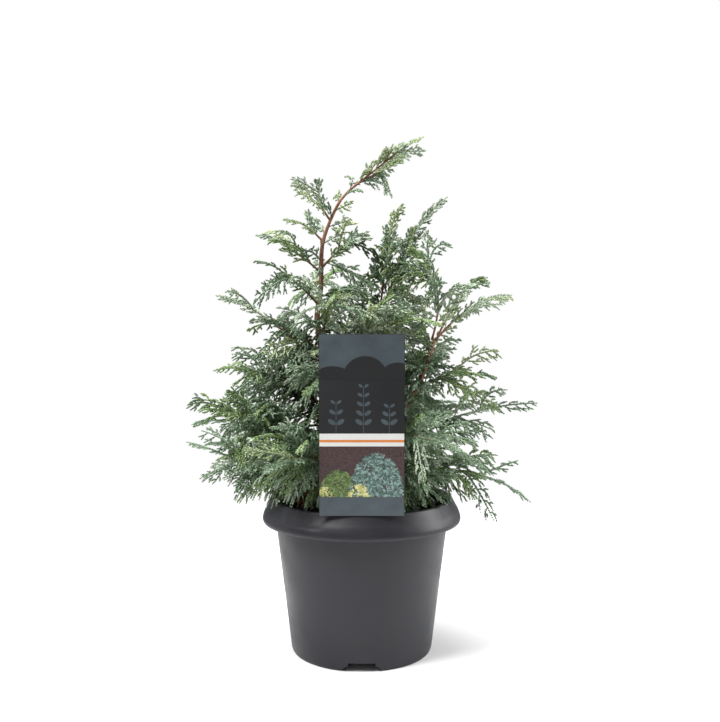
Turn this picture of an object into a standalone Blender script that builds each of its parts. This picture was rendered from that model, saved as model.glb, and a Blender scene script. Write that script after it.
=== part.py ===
"""A young blue sawara cypress in its nursery container, with its picture label, in metres with +Z up.

The container stands on its foot at z = 0 with its axis on the origin, and the label faces -Y.
The trunk and the boughs are tapering limbs. Each mass of foliage is one node: a stem, its twigs,
and flat toothed sprays that grow by a seeded rule inside the space that the mass has to itself.
"""

import math
import random

import bmesh
import bpy
import numpy as np
from mathutils import Matrix

GAP = 0.0003

# The container: a 19 cm, three litre nursery pot with a downturned lip
POT_HEIGHT = 0.150
FOOT_RADIUS = 0.0675
SHOULDER_RADIUS = 0.0830
SHOULDER_HEIGHT = 0.1277
RIM_RADIUS = 0.0877
LIP_RADIUS = 0.0967
LIP_BOTTOM = 0.1276
WALL = 0.0014
FLOOR_UNDERSIDE = 0.0090
POT_STEPS = 36
NOTCH_COUNT = 3
NOTCH_HEIGHT = 0.0075
NOTCH_TOP_WIDTH = 0.026
NOTCH_BOTTOM_WIDTH = 0.040
PANEL_BEARING = -118
PANEL_SPAN = 26
PANEL_DEPTH = 0.0006

# The potting soil inside it
SOIL_TOP = 0.1370
SOIL_CROWN = 0.0015

# The picture label, a stiff card whose tongue hooks over the rim and down into the soil
LABEL_WIDTH = 0.0757
LABEL_BOTTOM = 0.1496
LABEL_TOP = 0.3108
LABEL_THICKNESS = 0.0008
LABEL_STAND_OFF = 0.0009
TONGUE_WIDTH = 0.024
TONGUE_FOOT = 0.112

# The trunk from the soil to its tip: x, y, height and radius
TRUNK_COURSE = (
    (0.000, 0.000, 0.1391, 0.0098),
    (0.000, 0.000, 0.1440, 0.0068),
    (-0.005, 0.003, 0.1600, 0.0058),
    (-0.016, 0.006, 0.2040, 0.0049),
    (-0.032, 0.005, 0.2620, 0.0038),
    (-0.043, 0.002, 0.3175, 0.0028),
    (-0.0395, 0.000, 0.3545, 0.0023),
    (-0.0388, 0.000, 0.3880, 0.0020),
    (-0.0345, 0.000, 0.4080, 0.0017),
    (-0.0230, 0.000, 0.4335, 0.0014),
    (-0.0115, 0.000, 0.4475, 0.0012),
    (0.0080, 0.000, 0.4630, 0.0010),
    (0.0300, 0.000, 0.4805, 0.0008),
)

# Boughs that leave the trunk: height of the root, tip of the foliage that the bough carries,
# bow of the whole course, and the share of the course that is bare bough
BOUGHS = {
    "bough_low_left": (0.156, (-0.176, 0.028, 0.201), (0, 0, -0.008), 0.32),
    "bough_low_right": (0.158, (0.160, -0.030, 0.152), (0, 0, 0.022), 0.32),
    "bough_left": (0.185, (-0.159, -0.036, 0.226), (0, 0, 0.012), 0.32),
    "bough_right": (0.176, (0.172, 0.006, 0.241), (0, 0, 0.014), 0.34),
    "bough_high_left": (0.270, (-0.140, 0.000, 0.347), (0, 0, 0.010), 0.36),
    "bough_middle_left": (0.222, (-0.148, 0.026, 0.272), (0, 0, 0.016), 0.30),
    "bough_middle_right": (0.205, (0.128, -0.022, 0.269), (0, 0, 0.020), 0.30),
    "bough_front_left": (0.168, (-0.084, -0.139, 0.196), (0, 0, 0.014), 0.32),
    "bough_front_right": (0.190, (0.088, -0.140, 0.212), (0, 0, 0.016), 0.32),
    "bough_back_left": (0.164, (-0.128, 0.092, 0.205), (0, 0, 0.012), 0.32),
    "bough_back_right": (0.178, (0.096, 0.128, 0.225), (0, 0, 0.014), 0.32),
    "bough_back": (0.230, (0.004, 0.142, 0.268), (0, 0, 0.016), 0.30),
    "bough_second_leader": (0.196, (0.0759, 0.004, 0.4487), (-0.014, 0.018, 0.000), 0.54),
    "bough_third_leader": (0.164, (0.036, -0.020, 0.397), (0.053, -0.022, 0.030), 0.46),
}

# Masses without a bough of their own: what carries the stem, the height of its root on the trunk,
# the furthest tip and the bow
MASSES = {
    "foliage_top": ("trunk", 0.4805, (0.0489, 0.000, 0.4945), (0, 0, 0.001)),
    "foliage_top_left": ("trunk", 0.418, (-0.0373, -0.006, 0.4602), (-0.006, 0, 0)),
    "foliage_top_outer_left": ("trunk", 0.398, (-0.049, 0.010, 0.4305), (-0.006, 0, 0)),
    "foliage_top_right": ("trunk", 0.456, (0.0240, 0.004, 0.4450), (0.004, 0, 0.008)),
    "foliage_crest_left": ("trunk", 0.368, (-0.1014, 0.008, 0.4075), (0, 0, 0.004)),
    "foliage_crest_left_front": ("trunk", 0.336, (-0.0986, -0.034, 0.3795), (0, 0, 0.006)),
    "foliage_crest_right": ("trunk", 0.372, (0.006, -0.030, 0.4060), (0, 0, 0.004)),
    "foliage_crest_back": ("trunk", 0.330, (-0.052, 0.094, 0.3740), (0, 0, 0.008)),
    "foliage_crest_front": ("trunk", 0.300, (-0.022, -0.112, 0.3450), (0, 0, 0.010)),
    "foliage_second_leader_side": ("bough_second_leader", 0, (0.033, 0.030, 0.4478), (0, 0, 0)),
    "foliage_third_leader_right": ("bough_third_leader", 0, (0.147, 0.000, 0.3437), (0, 0, 0.012)),
    "foliage_third_leader_outer": ("bough_third_leader", 0, (0.108, -0.062, 0.3654), (0, 0, 0.008)),
}

# Rings of foliage close round the trunk: root height, number, first bearing in degrees,
# reach, height of the tips and bow
RINGS = (
    ("foliage_rim", 0.1465, 6, -112, 0.114, 0.128, 0.040),
    ("foliage_inner_low", 0.172, 4, -66, 0.122, 0.196, 0.014),
    ("foliage_inner_middle", 0.240, 3, -105, 0.110, 0.272, 0.012),
    ("foliage_inner_high", 0.286, 3, -50, 0.108, 0.322, 0.010),
)
# What stands in front of the trunk keeps behind the label
LABEL_SECTOR = 34
LABEL_REACH = 0.072

# The crown's greatest reach sideways at each height, and how deep it is for its width
CROWN_PROFILE = (
    (0.118, 0.108),
    (0.150, 0.160),
    (0.200, 0.1775),
    (0.245, 0.1735),
    (0.272, 0.150),
    (0.300, 0.138),
    (0.345, 0.150),
    (0.380, 0.112),
    (0.410, 0.104),
    (0.435, 0.080),
    (0.4955, 0.076),
)
CROWN_DEPTH = 0.85

# How far from the middle of a bough's tip several stems set out side by side
TIP_SPREAD = 0.0026

# The rule that foliage grows by
SEED = 1
SPRAY_THICKNESS = 0.0012
STEM_RADIUS = 0.0011
END_SPRAY_SHARE = 0.40
END_SPRAY_LENGTH = 0.055
SIDE_SPRAY_LENGTH = 0.072
END_TEETH = 4
SIDE_TEETH = 4
SHORT_SPRAY = 0.053
SPRAY_DROOP = 0.12
FULL_SPRAY = 0.38
SLIM_SPRAY = 0.32
SLIM_ABOVE = 0.335
TWIG_SPACING = 0.021
FOOT_WIDTH = 0.0009
TRIALS = 5
TRIAL_SHRINK = 0.90
SIDE_SPRAY_FORWARD = 1.3
SIDE_ANGLE = 46
SIDE_ROLL = 72
END_ROLL = 45
SPACE_SHARE = 1.35
STEM_MARGIN = 0.0045
SPRAY_MARGIN = 0.0060
SISTER_REACH = 0.010
SISTER_MARGIN = 0.0040
LIMB_MARGIN = 0.0010


def clear_scene():
    for item in list(bpy.data.objects):
        bpy.data.objects.remove(item, do_unlink=True)


def make_collection(name, helper=False):
    collection = bpy.data.collections.new(name)
    bpy.context.scene.collection.children.link(collection)
    collection.hide_render = helper
    return collection


def make_material(name, colour, roughness, metallic=0.0):
    material = bpy.data.materials.new(name)
    material.use_nodes = True
    shader = material.node_tree.nodes["Principled BSDF"]
    shader.inputs["Base Color"].default_value = (*colour, 1)
    shader.inputs["Roughness"].default_value = roughness
    shader.inputs["Metallic"].default_value = metallic
    material.diffuse_color = (*colour, 1)
    return material


def put(name, mesh, collection, material=None):
    item = bpy.data.objects.new(name, mesh)
    collection.objects.link(item)
    if material:
        mesh.materials.clear()
        mesh.materials.append(material)
    return item


def drop(items):
    for item in items:
        bpy.data.objects.remove(item, do_unlink=True)


def evaluated_mesh(item):
    bpy.context.view_layer.update()
    graph = bpy.context.evaluated_depsgraph_get()
    return bpy.data.meshes.new_from_object(item.evaluated_get(graph))


def turned(name, profile, collection, steps=POT_STEPS, span=360):
    """A profile of (radius, height) points turned about the Z axis."""
    mesh = bpy.data.meshes.new(name)
    count = len(profile)
    edges = [(i, (i + 1) % count) for i in range(count)]
    mesh.from_pydata([(r, 0, z) for r, z in profile], edges, [])
    item = put(name, mesh, collection)
    screw = item.modifiers.new("Turn", "SCREW")
    screw.axis = "Z"
    screw.angle = math.radians(span)
    screw.steps = steps
    screw.render_steps = steps
    screw.use_merge_vertices = True
    screw.merge_threshold = 0.00001
    return item


def made_mesh(item, name, collection, material=None):
    """The object as a mesh of its own, welded and facing out, in place of the one it came from."""
    mesh = evaluated_mesh(item)
    mesh.transform(item.matrix_world)
    source = item.data
    drop([item])
    if isinstance(source, bpy.types.Curve):
        bpy.data.curves.remove(source)
    shape = bmesh.new()
    shape.from_mesh(mesh)
    bmesh.ops.remove_doubles(shape, verts=shape.verts, dist=0.000001)
    bmesh.ops.recalc_face_normals(shape, faces=shape.faces)
    shape.to_mesh(mesh)
    shape.free()
    mesh.name = name
    return put(name, mesh, collection, material)


def cut(item, cutter):
    change = item.modifiers.new("Cut", "BOOLEAN")
    change.operation = "DIFFERENCE"
    change.solver = "EXACT"
    change.object = cutter


def prism(name, outline, depth, collection):
    """A flat outline in the XZ plane, given its depth along Y."""
    shape = bmesh.new()
    face = shape.faces.new([shape.verts.new((x, -depth / 2, z)) for x, z in outline])
    grown = bmesh.ops.extrude_face_region(shape, geom=[face])
    moved = [part for part in grown["geom"] if isinstance(part, bmesh.types.BMVert)]
    bmesh.ops.translate(shape, verts=moved, vec=(0, depth, 0))
    bmesh.ops.recalc_face_normals(shape, faces=shape.faces)
    mesh = bpy.data.meshes.new(name)
    shape.to_mesh(mesh)
    shape.free()
    return put(name, mesh, collection)


def wall_radius(height):
    """The container's outer radius below the lip, carried on up inside it."""
    return FOOT_RADIUS + (SHOULDER_RADIUS - FOOT_RADIUS) * height / SHOULDER_HEIGHT


def lip_outside():
    """The lip's outer side from the rim down to its lower edge, as (radius, height) points."""
    drop_height = POT_HEIGHT - LIP_BOTTOM
    flare = LIP_RADIUS - RIM_RADIUS
    shares = ((0.10, 0.04), (0.40, 0.33), (0.72, 0.66), (0.94, 0.87), (1.0, 0.96))
    return [(RIM_RADIUS + flare * out, POT_HEIGHT - drop_height * down) for out, down in shares]


def make_pot(collection, cutters, material):
    outside = lip_outside()
    lip_inside = [(r - WALL, z - 0.4 * WALL) for r, z in reversed(outside[1:-1])]
    profile = [
        (wall_radius(POT_HEIGHT) - WALL, POT_HEIGHT - 0.0004),
        (wall_radius(POT_HEIGHT) - WALL + 0.0006, POT_HEIGHT),
        (RIM_RADIUS - 0.0004, POT_HEIGHT),
        *outside,
        (LIP_RADIUS - 0.0007, LIP_BOTTOM),
        (LIP_RADIUS - WALL, LIP_BOTTOM + 0.0006),
        *lip_inside,
        (wall_radius(POT_HEIGHT - 2 * WALL), POT_HEIGHT - 2 * WALL),
        (SHOULDER_RADIUS, SHOULDER_HEIGHT),
        (wall_radius(0.002) + 0.0001, 0.002),
        (FOOT_RADIUS - 0.0005, 0.0),
        (FOOT_RADIUS - 0.0024, 0.0),
        (FOOT_RADIUS - 0.0020, FLOOR_UNDERSIDE),
        (0.0, FLOOR_UNDERSIDE),
        (0.0, FLOOR_UNDERSIDE + WALL),
        (wall_radius(FLOOR_UNDERSIDE) - WALL - 0.0012, FLOOR_UNDERSIDE + WALL),
        (wall_radius(FLOOR_UNDERSIDE) - WALL + 0.0002, FLOOR_UNDERSIDE + WALL + 0.0014),
    ]
    pot = turned("pot", profile, collection)
    pot = made_mesh(pot, "pot", collection, material)
    outline = (
        (-NOTCH_BOTTOM_WIDTH / 2, -0.002),
        (NOTCH_BOTTOM_WIDTH / 2, -0.002),
        (NOTCH_BOTTOM_WIDTH / 2 - 0.0015, 0.0015),
        (NOTCH_TOP_WIDTH / 2 + 0.0015, NOTCH_HEIGHT - 0.0012),
        (NOTCH_TOP_WIDTH / 2 - 0.0010, NOTCH_HEIGHT),
        (-NOTCH_TOP_WIDTH / 2 + 0.0010, NOTCH_HEIGHT),
        (-NOTCH_TOP_WIDTH / 2 - 0.0015, NOTCH_HEIGHT - 0.0012),
        (-NOTCH_BOTTOM_WIDTH / 2 + 0.0015, 0.0015),
    )
    for index in range(NOTCH_COUNT):
        notch = prism(f"notch_{index + 1}", outline, 0.030, cutters)
        bearing = math.radians(-90 + 360 / NOTCH_COUNT * index)
        notch.location = (FOOT_RADIUS * math.cos(bearing), FOOT_RADIUS * math.sin(bearing), 0)
        notch.rotation_euler = (0, 0, bearing + math.pi / 2)
        notch.display_type = "WIRE"
        cut(pot, notch)
    make_panel_cutter(pot, outside, cutters)
    return pot


def make_panel_cutter(pot, outside, cutters):
    """The shallow panel sunk in the lip left of the label."""
    sunk = [(r - PANEL_DEPTH, z) for r, z in outside[1:4]]
    profile = [*sunk, (LIP_RADIUS + 0.005, sunk[-1][1]), (LIP_RADIUS + 0.005, sunk[0][1])]
    ring = turned("panel_cutter", profile, cutters, steps=4, span=PANEL_SPAN)
    ring.rotation_euler = (0, 0, math.radians(PANEL_BEARING - PANEL_SPAN / 2))
    bpy.context.view_layer.update()
    ring = made_mesh(ring, "panel_cutter", cutters)
    shape = bmesh.new()
    shape.from_mesh(ring.data)
    bmesh.ops.holes_fill(shape, edges=shape.edges)
    bmesh.ops.recalc_face_normals(shape, faces=shape.faces)
    shape.to_mesh(ring.data)
    shape.free()
    ring.display_type = "WIRE"
    cut(pot, ring)


def make_soil(collection, cutters, material):
    floor = FLOOR_UNDERSIDE + WALL + GAP
    reach = wall_radius(SOIL_TOP) - WALL - GAP - 0.0002
    profile = [
        (0.0, SOIL_TOP + SOIL_CROWN),
        (0.6 * reach, SOIL_TOP + 0.8 * SOIL_CROWN),
        (reach, SOIL_TOP),
        (wall_radius(floor + 0.002) - WALL - GAP - 0.0004, floor + 0.002),
        (wall_radius(floor) - WALL - GAP - 0.0028, floor),
        (0.0, floor),
    ]
    soil = turned("soil", profile, collection, steps=36)
    soil = made_mesh(soil, "soil", collection, material)
    slot_width = TONGUE_WIDTH + 2 * GAP
    slot_depth = LABEL_THICKNESS + 2 * GAP
    outline = (
        (-slot_width / 2, TONGUE_FOOT - GAP),
        (slot_width / 2, TONGUE_FOOT - GAP),
        (slot_width / 2, SOIL_TOP + 0.02),
        (-slot_width / 2, SOIL_TOP + 0.02),
    )
    slot = prism("tongue_slot", outline, slot_depth, cutters)
    slot.location = (0, tongue_middle(), 0)
    slot.display_type = "WIRE"
    cut(soil, slot)
    return soil


def tongue_middle():
    """Where the tongue runs down inside the wall, on the Y axis."""
    return -(wall_radius(TONGUE_FOOT) - WALL - 0.0032)


def label_front():
    return -(RIM_RADIUS + LABEL_STAND_OFF + LABEL_THICKNESS)


def make_label(collection, material):
    """The card in front of the rim, with its tongue bent back over it."""
    front = label_front()
    back = front + LABEL_THICKNESS
    over = POT_HEIGHT + GAP
    tongue_back = tongue_middle() + LABEL_THICKNESS / 2
    tongue_front = tongue_middle() - LABEL_THICKNESS / 2
    half = LABEL_WIDTH / 2
    shape = bmesh.new()
    bmesh.ops.create_cube(shape, size=1.0)
    height = LABEL_TOP - LABEL_BOTTOM
    place = Matrix.Translation((0, (front + back) / 2, LABEL_BOTTOM + height / 2))
    scale = Matrix.Diagonal((2 * half, LABEL_THICKNESS, height, 1))
    bmesh.ops.transform(shape, matrix=place @ scale, verts=shape.verts)
    mesh = bpy.data.meshes.new("label")
    shape.to_mesh(mesh)
    shape.free()
    label = put("label", mesh, collection, material)
    hook = (
        (front + 0.3 * LABEL_THICKNESS, over),
        (tongue_front, over),
        (tongue_front, TONGUE_FOOT),
        (tongue_back, TONGUE_FOOT),
        (tongue_back, over + LABEL_THICKNESS),
        (front + 0.3 * LABEL_THICKNESS, over + LABEL_THICKNESS),
    )
    tongue = prism("tongue", hook, TONGUE_WIDTH, collection)
    tongue.data.transform(Matrix.Rotation(math.pi / 2, 4, "Z"))
    join = label.modifiers.new("Tongue", "BOOLEAN")
    join.operation = "UNION"
    join.solver = "EXACT"
    join.object = tongue
    made = evaluated_mesh(label)
    drop([label, tongue])
    return put("label", made, collection, material)


def limb_profiles(helpers):
    """Unit rings that give a bevelled curve its number of sides."""
    rings = {}
    for sides in (3, 5, 8):
        curve = bpy.data.curves.new(f"ring_{sides}", "CURVE")
        curve.dimensions = "2D"
        spline = curve.splines.new("POLY")
        spline.points.add(sides - 1)
        for index, point in enumerate(spline.points):
            turn = 2 * math.pi * index / sides
            point.co = (math.cos(turn), math.sin(turn), 0, 1)
        spline.use_cyclic_u = True
        rings[sides] = bpy.data.objects.new(f"ring_{sides}", curve)
        rings[sides].hide_render = True
        helpers.objects.link(rings[sides])
    return rings


def make_limb(name, points, radii, ring, collection, material=None):
    """A tapering limb: a curve through the points, as thick as the radii."""
    curve = bpy.data.curves.new(name, "CURVE")
    curve.dimensions = "3D"
    curve.bevel_mode = "OBJECT"
    curve.bevel_object = ring
    curve.use_fill_caps = True
    spline = curve.splines.new("POLY")
    spline.points.add(len(points) - 1)
    for point, place, radius in zip(spline.points, points, radii):
        point.co = (*place, 1)
        point.radius = radius
    item = bpy.data.objects.new(name, curve)
    collection.objects.link(item)
    return made_mesh(item, name, collection, material)


def trunk_at(height):
    """The trunk's middle and radius at a height."""
    rows = np.array(TRUNK_COURSE)
    place = [np.interp(height, rows[:, 2], rows[:, axis]) for axis in (0, 1)]
    return np.array([*place, height]), float(np.interp(height, rows[:, 2], rows[:, 3]))


def course(root, tip, bow, share):
    """The point at a share of the way from root to tip, on a course that bows out."""
    lean = 4 * share * (1 - share)
    return root + (tip - root) * share + bow * lean


def unit(vector):
    return vector / np.linalg.norm(vector)


def trunk_root(height, tip, bow, radius):
    """Where a limb that leaves the trunk at a height starts, just clear of the bark."""
    middle, _ = trunk_at(height)
    away = unit(course(middle, tip, bow, 0.05) - middle)
    if height >= TRUNK_COURSE[-1][2]:
        return middle + away * (GAP + 0.5 * radius)
    above, _ = trunk_at(height + 0.010)
    with_grain = abs(away @ unit(above - middle))
    near = [trunk_at(h) for h in np.arange(height - 0.006, height + 0.036, 0.0006)]
    axis = np.array([place for place, _ in near])
    bark = np.array([thick for _, thick in near])
    for out in np.arange(0.001, 0.040, 0.0001):
        root = middle + away * out
        if (np.linalg.norm(axis - root, axis=1) - bark).min() > 1.2 * GAP + 0.7 * radius * with_grain:
            break
    return root


def tip_root(ends, tip, bow, crowded):
    """Where a mass's stem starts on the tip of its bough, beside the others when it isn't alone."""
    end = ends[-1]
    onward = unit(ends[-1] - ends[-2])
    away = unit(course(end, tip, bow, 0.1) - end)
    sideways = away - onward * (away @ onward)
    tilt = np.linalg.norm(sideways)
    root = end + onward * (1.2 * GAP + 0.4 * STEM_RADIUS * tilt)
    return root + unit(sideways) * TIP_SPREAD if crowded else root


def plan_limbs():
    """The courses of all boughs, as name: (points, radius), and masses, as name: (root, tip, bow)."""
    boughs, masses = {}, {}
    carriers = [carrier for carrier, *_ in MASSES.values()]
    for name, (height, tip, bow, share) in BOUGHS.items():
        tip, bow = np.array(tip), np.array(bow, float)
        thick = bough_radius(height, tip)
        root = trunk_root(height, tip, bow, thick)
        ends = [course(root, tip, bow, share * step / 5) for step in range(6)]
        boughs[name] = (ends, thick)
        halfway = course(root, tip, bow, (1 + share) / 2)
        start = tip_root(ends, tip, halfway - (ends[-1] + tip) / 2, name in carriers)
        masses[name.replace("bough", "foliage")] = (start, tip, halfway - (start + tip) / 2)
    for name, (carrier, height, tip, bow) in MASSES.items():
        tip, bow = np.array(tip), np.array(bow, float)
        if carrier == "trunk":
            root = trunk_root(height, tip, bow, STEM_RADIUS)
        else:
            root = tip_root(boughs[carrier][0], tip, bow, True)
        masses[name] = (root, tip, bow)
    for ring, height, count, first, reach, tip_height, bow in RINGS:
        for index in range(count):
            bearing = first + 360 / count * index
            masses[f"{ring}_{index + 1}"] = ring_course(height, bearing, reach, tip_height, bow)
    return boughs, masses


def ring_course(height, bearing, reach, tip_height, bow):
    from_label = abs((bearing + 90 + 180) % 360 - 180)
    if from_label < LABEL_SECTOR and tip_height < LABEL_TOP:
        reach = min(reach, LABEL_REACH)
        tip_height += 0.01
    turn = math.radians(bearing)
    tip = np.array([reach * math.cos(turn), reach * math.sin(turn), tip_height])
    bow = np.array([0, 0, bow])
    return trunk_root(height, tip, bow, STEM_RADIUS), tip, bow


def bough_radius(height, tip):
    """The radius at the foot of a bough, by the length of all that it carries."""
    return 0.0016 + 0.007 * math.dist((0, 0, height), tip)


class Space:
    """What keeps each mass to its own part of the crown and off its neighbours, the limbs, pot and label."""

    def __init__(self, boughs, masses):
        shares = np.linspace(0, 1, 25)
        self.axes = {
            name: np.array([course(root, tip, bow, s) for s in shares])
            for name, (root, tip, bow) in masses.items()
        }
        limbs = []
        for height in np.arange(SOIL_TOP, TRUNK_COURSE[-1][2], 0.002):
            middle, radius = trunk_at(height)
            limbs.append((*middle, radius))
        for ends, thick in boughs.values():
            for a, b in zip(ends, ends[1:]):
                for s in np.linspace(0, 1, 8):
                    limbs.append((*(a + (b - a) * s), thick))
        self.limbs = np.array(limbs)
        self.grown = {name: [] for name in masses}

    def nearest(self, points, axis):
        return np.linalg.norm(points[:, None] - axis[None], axis=2).min(axis=1)

    def holds(self, name, points):
        stems = np.concatenate([axis for key, axis in self.axes.items() if key != name])
        own = self.nearest(points, self.axes[name])
        away = self.nearest(points, stems)
        if (own > SPACE_SHARE * away).any() or (away < STEM_MARGIN).any():
            return False
        grown = [spray for key, sprays in self.grown.items() if key != name for spray in sprays]
        if grown and (self.nearest(points, np.concatenate(grown)) < SPRAY_MARGIN).any():
            return False
        sisters = self.grown[name]
        clear = points[own > SISTER_REACH]
        if sisters and len(clear) and (self.nearest(clear, np.concatenate(sisters)) < SISTER_MARGIN).any():
            return False
        return self.free(points)

    def free(self, points):
        away = np.linalg.norm(points[:, None] - self.limbs[None, :, :3], axis=2)
        if (away < self.limbs[:, 3] + LIMB_MARGIN).any():
            return False
        out = np.hypot(points[:, 0], points[:, 1])
        height = points[:, 2]
        heights, reaches = np.array(CROWN_PROFILE).T
        across = np.hypot(points[:, 0], points[:, 1] / CROWN_DEPTH)
        outside = (across > np.interp(height, heights, reaches)) | (height > heights[-1])
        in_soil = (out < wall_radius(0.13)) & (height < SOIL_TOP + SOIL_CROWN + 0.001)
        in_rim = (out > RIM_RADIUS - 0.008) & (out < LIP_RADIUS + 0.002) & (height < POT_HEIGHT + 0.0015)
        beside = abs(points[:, 0]) < LABEL_WIDTH / 2 + 0.004
        before_label = beside & (points[:, 1] < label_front() + 0.0025) & (height < LABEL_TOP + 0.003)
        at_hook = (abs(points[:, 0]) < TONGUE_WIDTH / 2 + 0.002) & (points[:, 1] < tongue_middle() + 0.003)
        at_hook &= height < POT_HEIGHT + 0.003
        return not (outside | in_soil | in_rim | before_label | at_hook).any()


def spray_outline(teeth, width):
    """A flat spray's points as (share along, share across): its rib pairs and its tooth tips."""
    ribs = [(0.12 + 0.74 * index / teeth, 0.24 * width) for index in range(teeth + 1)]
    ribs[0] = (ribs[0][0], 0.10 * width)
    tips = []
    for index in range(teeth):
        along = ribs[index][0]
        size = math.sin(math.pi * (0.27 + 0.58 * index / teeth))
        tips.append((along + 0.16 + 0.14 * size, width * size))
    return ribs, tips


def straight_rib(root, way, length):
    """A spray's rib that sets out straight and bends down as it goes out."""
    return lambda along: root + way * length * along - np.array([0, 0, SPRAY_DROOP * length * along**2])


def spray_points(rib, side, length, teeth, width):
    """The spray's rib pairs, tooth tips and end, where rib gives the middle line by shares."""
    ribs, tips = spray_outline(teeth, width)

    def place(along, across):
        return rib(along) + side * length * across

    foot = FOOT_WIDTH / length
    left = [place(0.0, foot), *(place(a, c) for a, c in ribs)]
    right = [place(0.0, -foot), *(place(a, -c) for a, c in ribs)]
    left_tips = [place(a, c) for a, c in tips]
    right_tips = [place(a - 0.06, -c * 0.92) for a, c in tips]
    return left, right, left_tips, right_tips, place(1.0, 0.0)


def spray_samples(parts):
    """Points all over a spray, close enough together that nothing passes between them."""
    left, right, left_tips, right_tips, end = parts
    samples = [end, (end + left[-1]) / 2, (end + right[-1]) / 2]
    for tooth, rib in ((left_tips, left[1:]), (right_tips, right[1:])):
        for tip, near, far in zip(tooth, rib, rib[1:]):
            samples += [tip + ((near + far) / 2 - tip) * share for share in (0, 0.25, 0.5, 0.75)]
            samples += [(near + tip) / 2, (far + tip) / 2, near, far]
    samples += [(a + b) / 2 for a, b in zip(left[1:], right[1:])]
    return np.array(samples)


def make_spray(name, parts, helpers):
    """The spray as an open surface that Solidify thickens at the ribs, with its tips left sharp."""
    left, right, left_tips, right_tips, end = parts
    shape = bmesh.new()
    left, right = [shape.verts.new(p) for p in left], [shape.verts.new(p) for p in right]
    left_tips, right_tips = [[shape.verts.new(p) for p in tips] for tips in (left_tips, right_tips)]
    end = shape.verts.new(end)
    for index in range(len(left) - 1):
        shape.faces.new((left[index], right[index], right[index + 1], left[index + 1]))
    for index, (left_tip, right_tip) in enumerate(zip(left_tips, right_tips), 1):
        shape.faces.new((left[index], left[index + 1], left_tip))
        shape.faces.new((right[index + 1], right[index], right_tip))
    shape.faces.new((left[-1], right[-1], end))
    shape.verts.index_update()
    thick = [vert.index for vert in left + right]
    mesh = bpy.data.meshes.new(name)
    shape.to_mesh(mesh)
    shape.free()
    item = put(name, mesh, helpers)
    item.vertex_groups.new(name="ribs").add(thick, 1.0, "REPLACE")
    solid = item.modifiers.new("Thickness", "SOLIDIFY")
    solid.thickness = SPRAY_THICKNESS
    solid.offset = 0
    solid.vertex_group = "ribs"
    weld = item.modifiers.new("Sharp tips", "WELD")
    weld.merge_threshold = 0.00001
    return item


def make_mass(name, plan, space, rings, helpers, collection, material):
    """One mass: a stem with a spray at its end, and side twigs that leave it by turns."""
    rng = random.Random(f"{SEED} {name}")
    root, tip, bow = plan
    length = np.linalg.norm(tip - root)
    width = SLIM_SPRAY if tip[2] > SLIM_ABOVE else FULL_SPRAY
    stem_share = 1 - min(END_SPRAY_SHARE, END_SPRAY_LENGTH / length)
    steps = 4 if length > 0.06 else 3
    stem_points = [course(root, tip, bow, stem_share * s / steps) for s in range(steps + 1)]
    radii = [STEM_RADIUS * (1 - 0.4 * s / steps) for s in range(steps + 1)]
    sprays = [grow_end(rng, space, plan, stem_share - 0.05, 0.8 * width)]
    space.grown[name].append(spray_samples(sprays[0]))
    twigs = max(2, round(length / TWIG_SPACING))
    for index in range(twigs):
        share = stem_share * (0.16 + 0.80 * index / max(twigs - 1, 1)) + rng.uniform(-0.02, 0.02)
        foot = course(root, tip, bow, share)
        along = unit(course(root, tip, bow, share + 0.05) - foot)
        hand = 1 if index % 2 else -1
        longest = SIDE_SPRAY_FORWARD * length * (1 - share) + 0.006
        spray = grow_side(rng, space, name, (foot, along, hand), longest, width)
        if spray:
            sprays.append(spray)
            space.grown[name].append(spray_samples(spray))
    pieces = [make_limb(f"{name}_stem", stem_points, radii, rings[3], helpers)]
    pieces += [make_spray(f"{name}_spray_{index}", spray, helpers) for index, spray in enumerate(sprays)]
    return fuse(name, pieces, collection, material)


def grow_end(rng, space, plan, start, width):
    """The spray at the end of the stem, rolled and narrowed until it is clear of limbs and pot."""
    root, tip, bow = plan
    way = unit(tip - course(root, tip, bow, start))
    level = unit(np.cross(way, (0, 0, 1)))
    length = np.linalg.norm(tip - root) * (1 - start)

    def rib(along):
        return course(root, tip, bow, start + (1 - start) * along)

    for trial in range(TRIALS):
        roll = math.radians(rng.uniform(-END_ROLL, END_ROLL))
        side = level * math.cos(roll) + np.cross(way, level) * math.sin(roll)
        spray = spray_points(rib, side, length, END_TEETH, width * TRIAL_SHRINK**trial)
        if space.free(spray_samples(spray)):
            break
    return spray


def grow_side(rng, space, name, branching, longest, width):
    """A side twig with its spray, tried smaller until it keeps to the mass's own space, or None."""
    foot, along, hand = branching
    flat = unit(np.cross(along, (0, 0, 1))) * hand
    for trial in range(TRIALS):
        turn = math.radians(SIDE_ANGLE + rng.uniform(-10, 10))
        roll = math.radians(rng.uniform(-SIDE_ROLL, SIDE_ROLL))
        across = flat * math.cos(roll) + np.array([0, 0, 1]) * math.sin(roll)
        heading = unit(along * math.cos(turn) + across * math.sin(turn))
        reach = min(SIDE_SPRAY_LENGTH * rng.uniform(0.85, 1.1) * TRIAL_SHRINK**trial, longest)
        plane = unit(np.cross(heading, np.cross(along, heading)))
        teeth = SIDE_TEETH if reach > SHORT_SPRAY else SIDE_TEETH - 1
        spray = spray_points(straight_rib(foot, heading, reach), plane, reach, teeth, width)
        if space.holds(name, spray_samples(spray)):
            return spray
    return None


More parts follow.
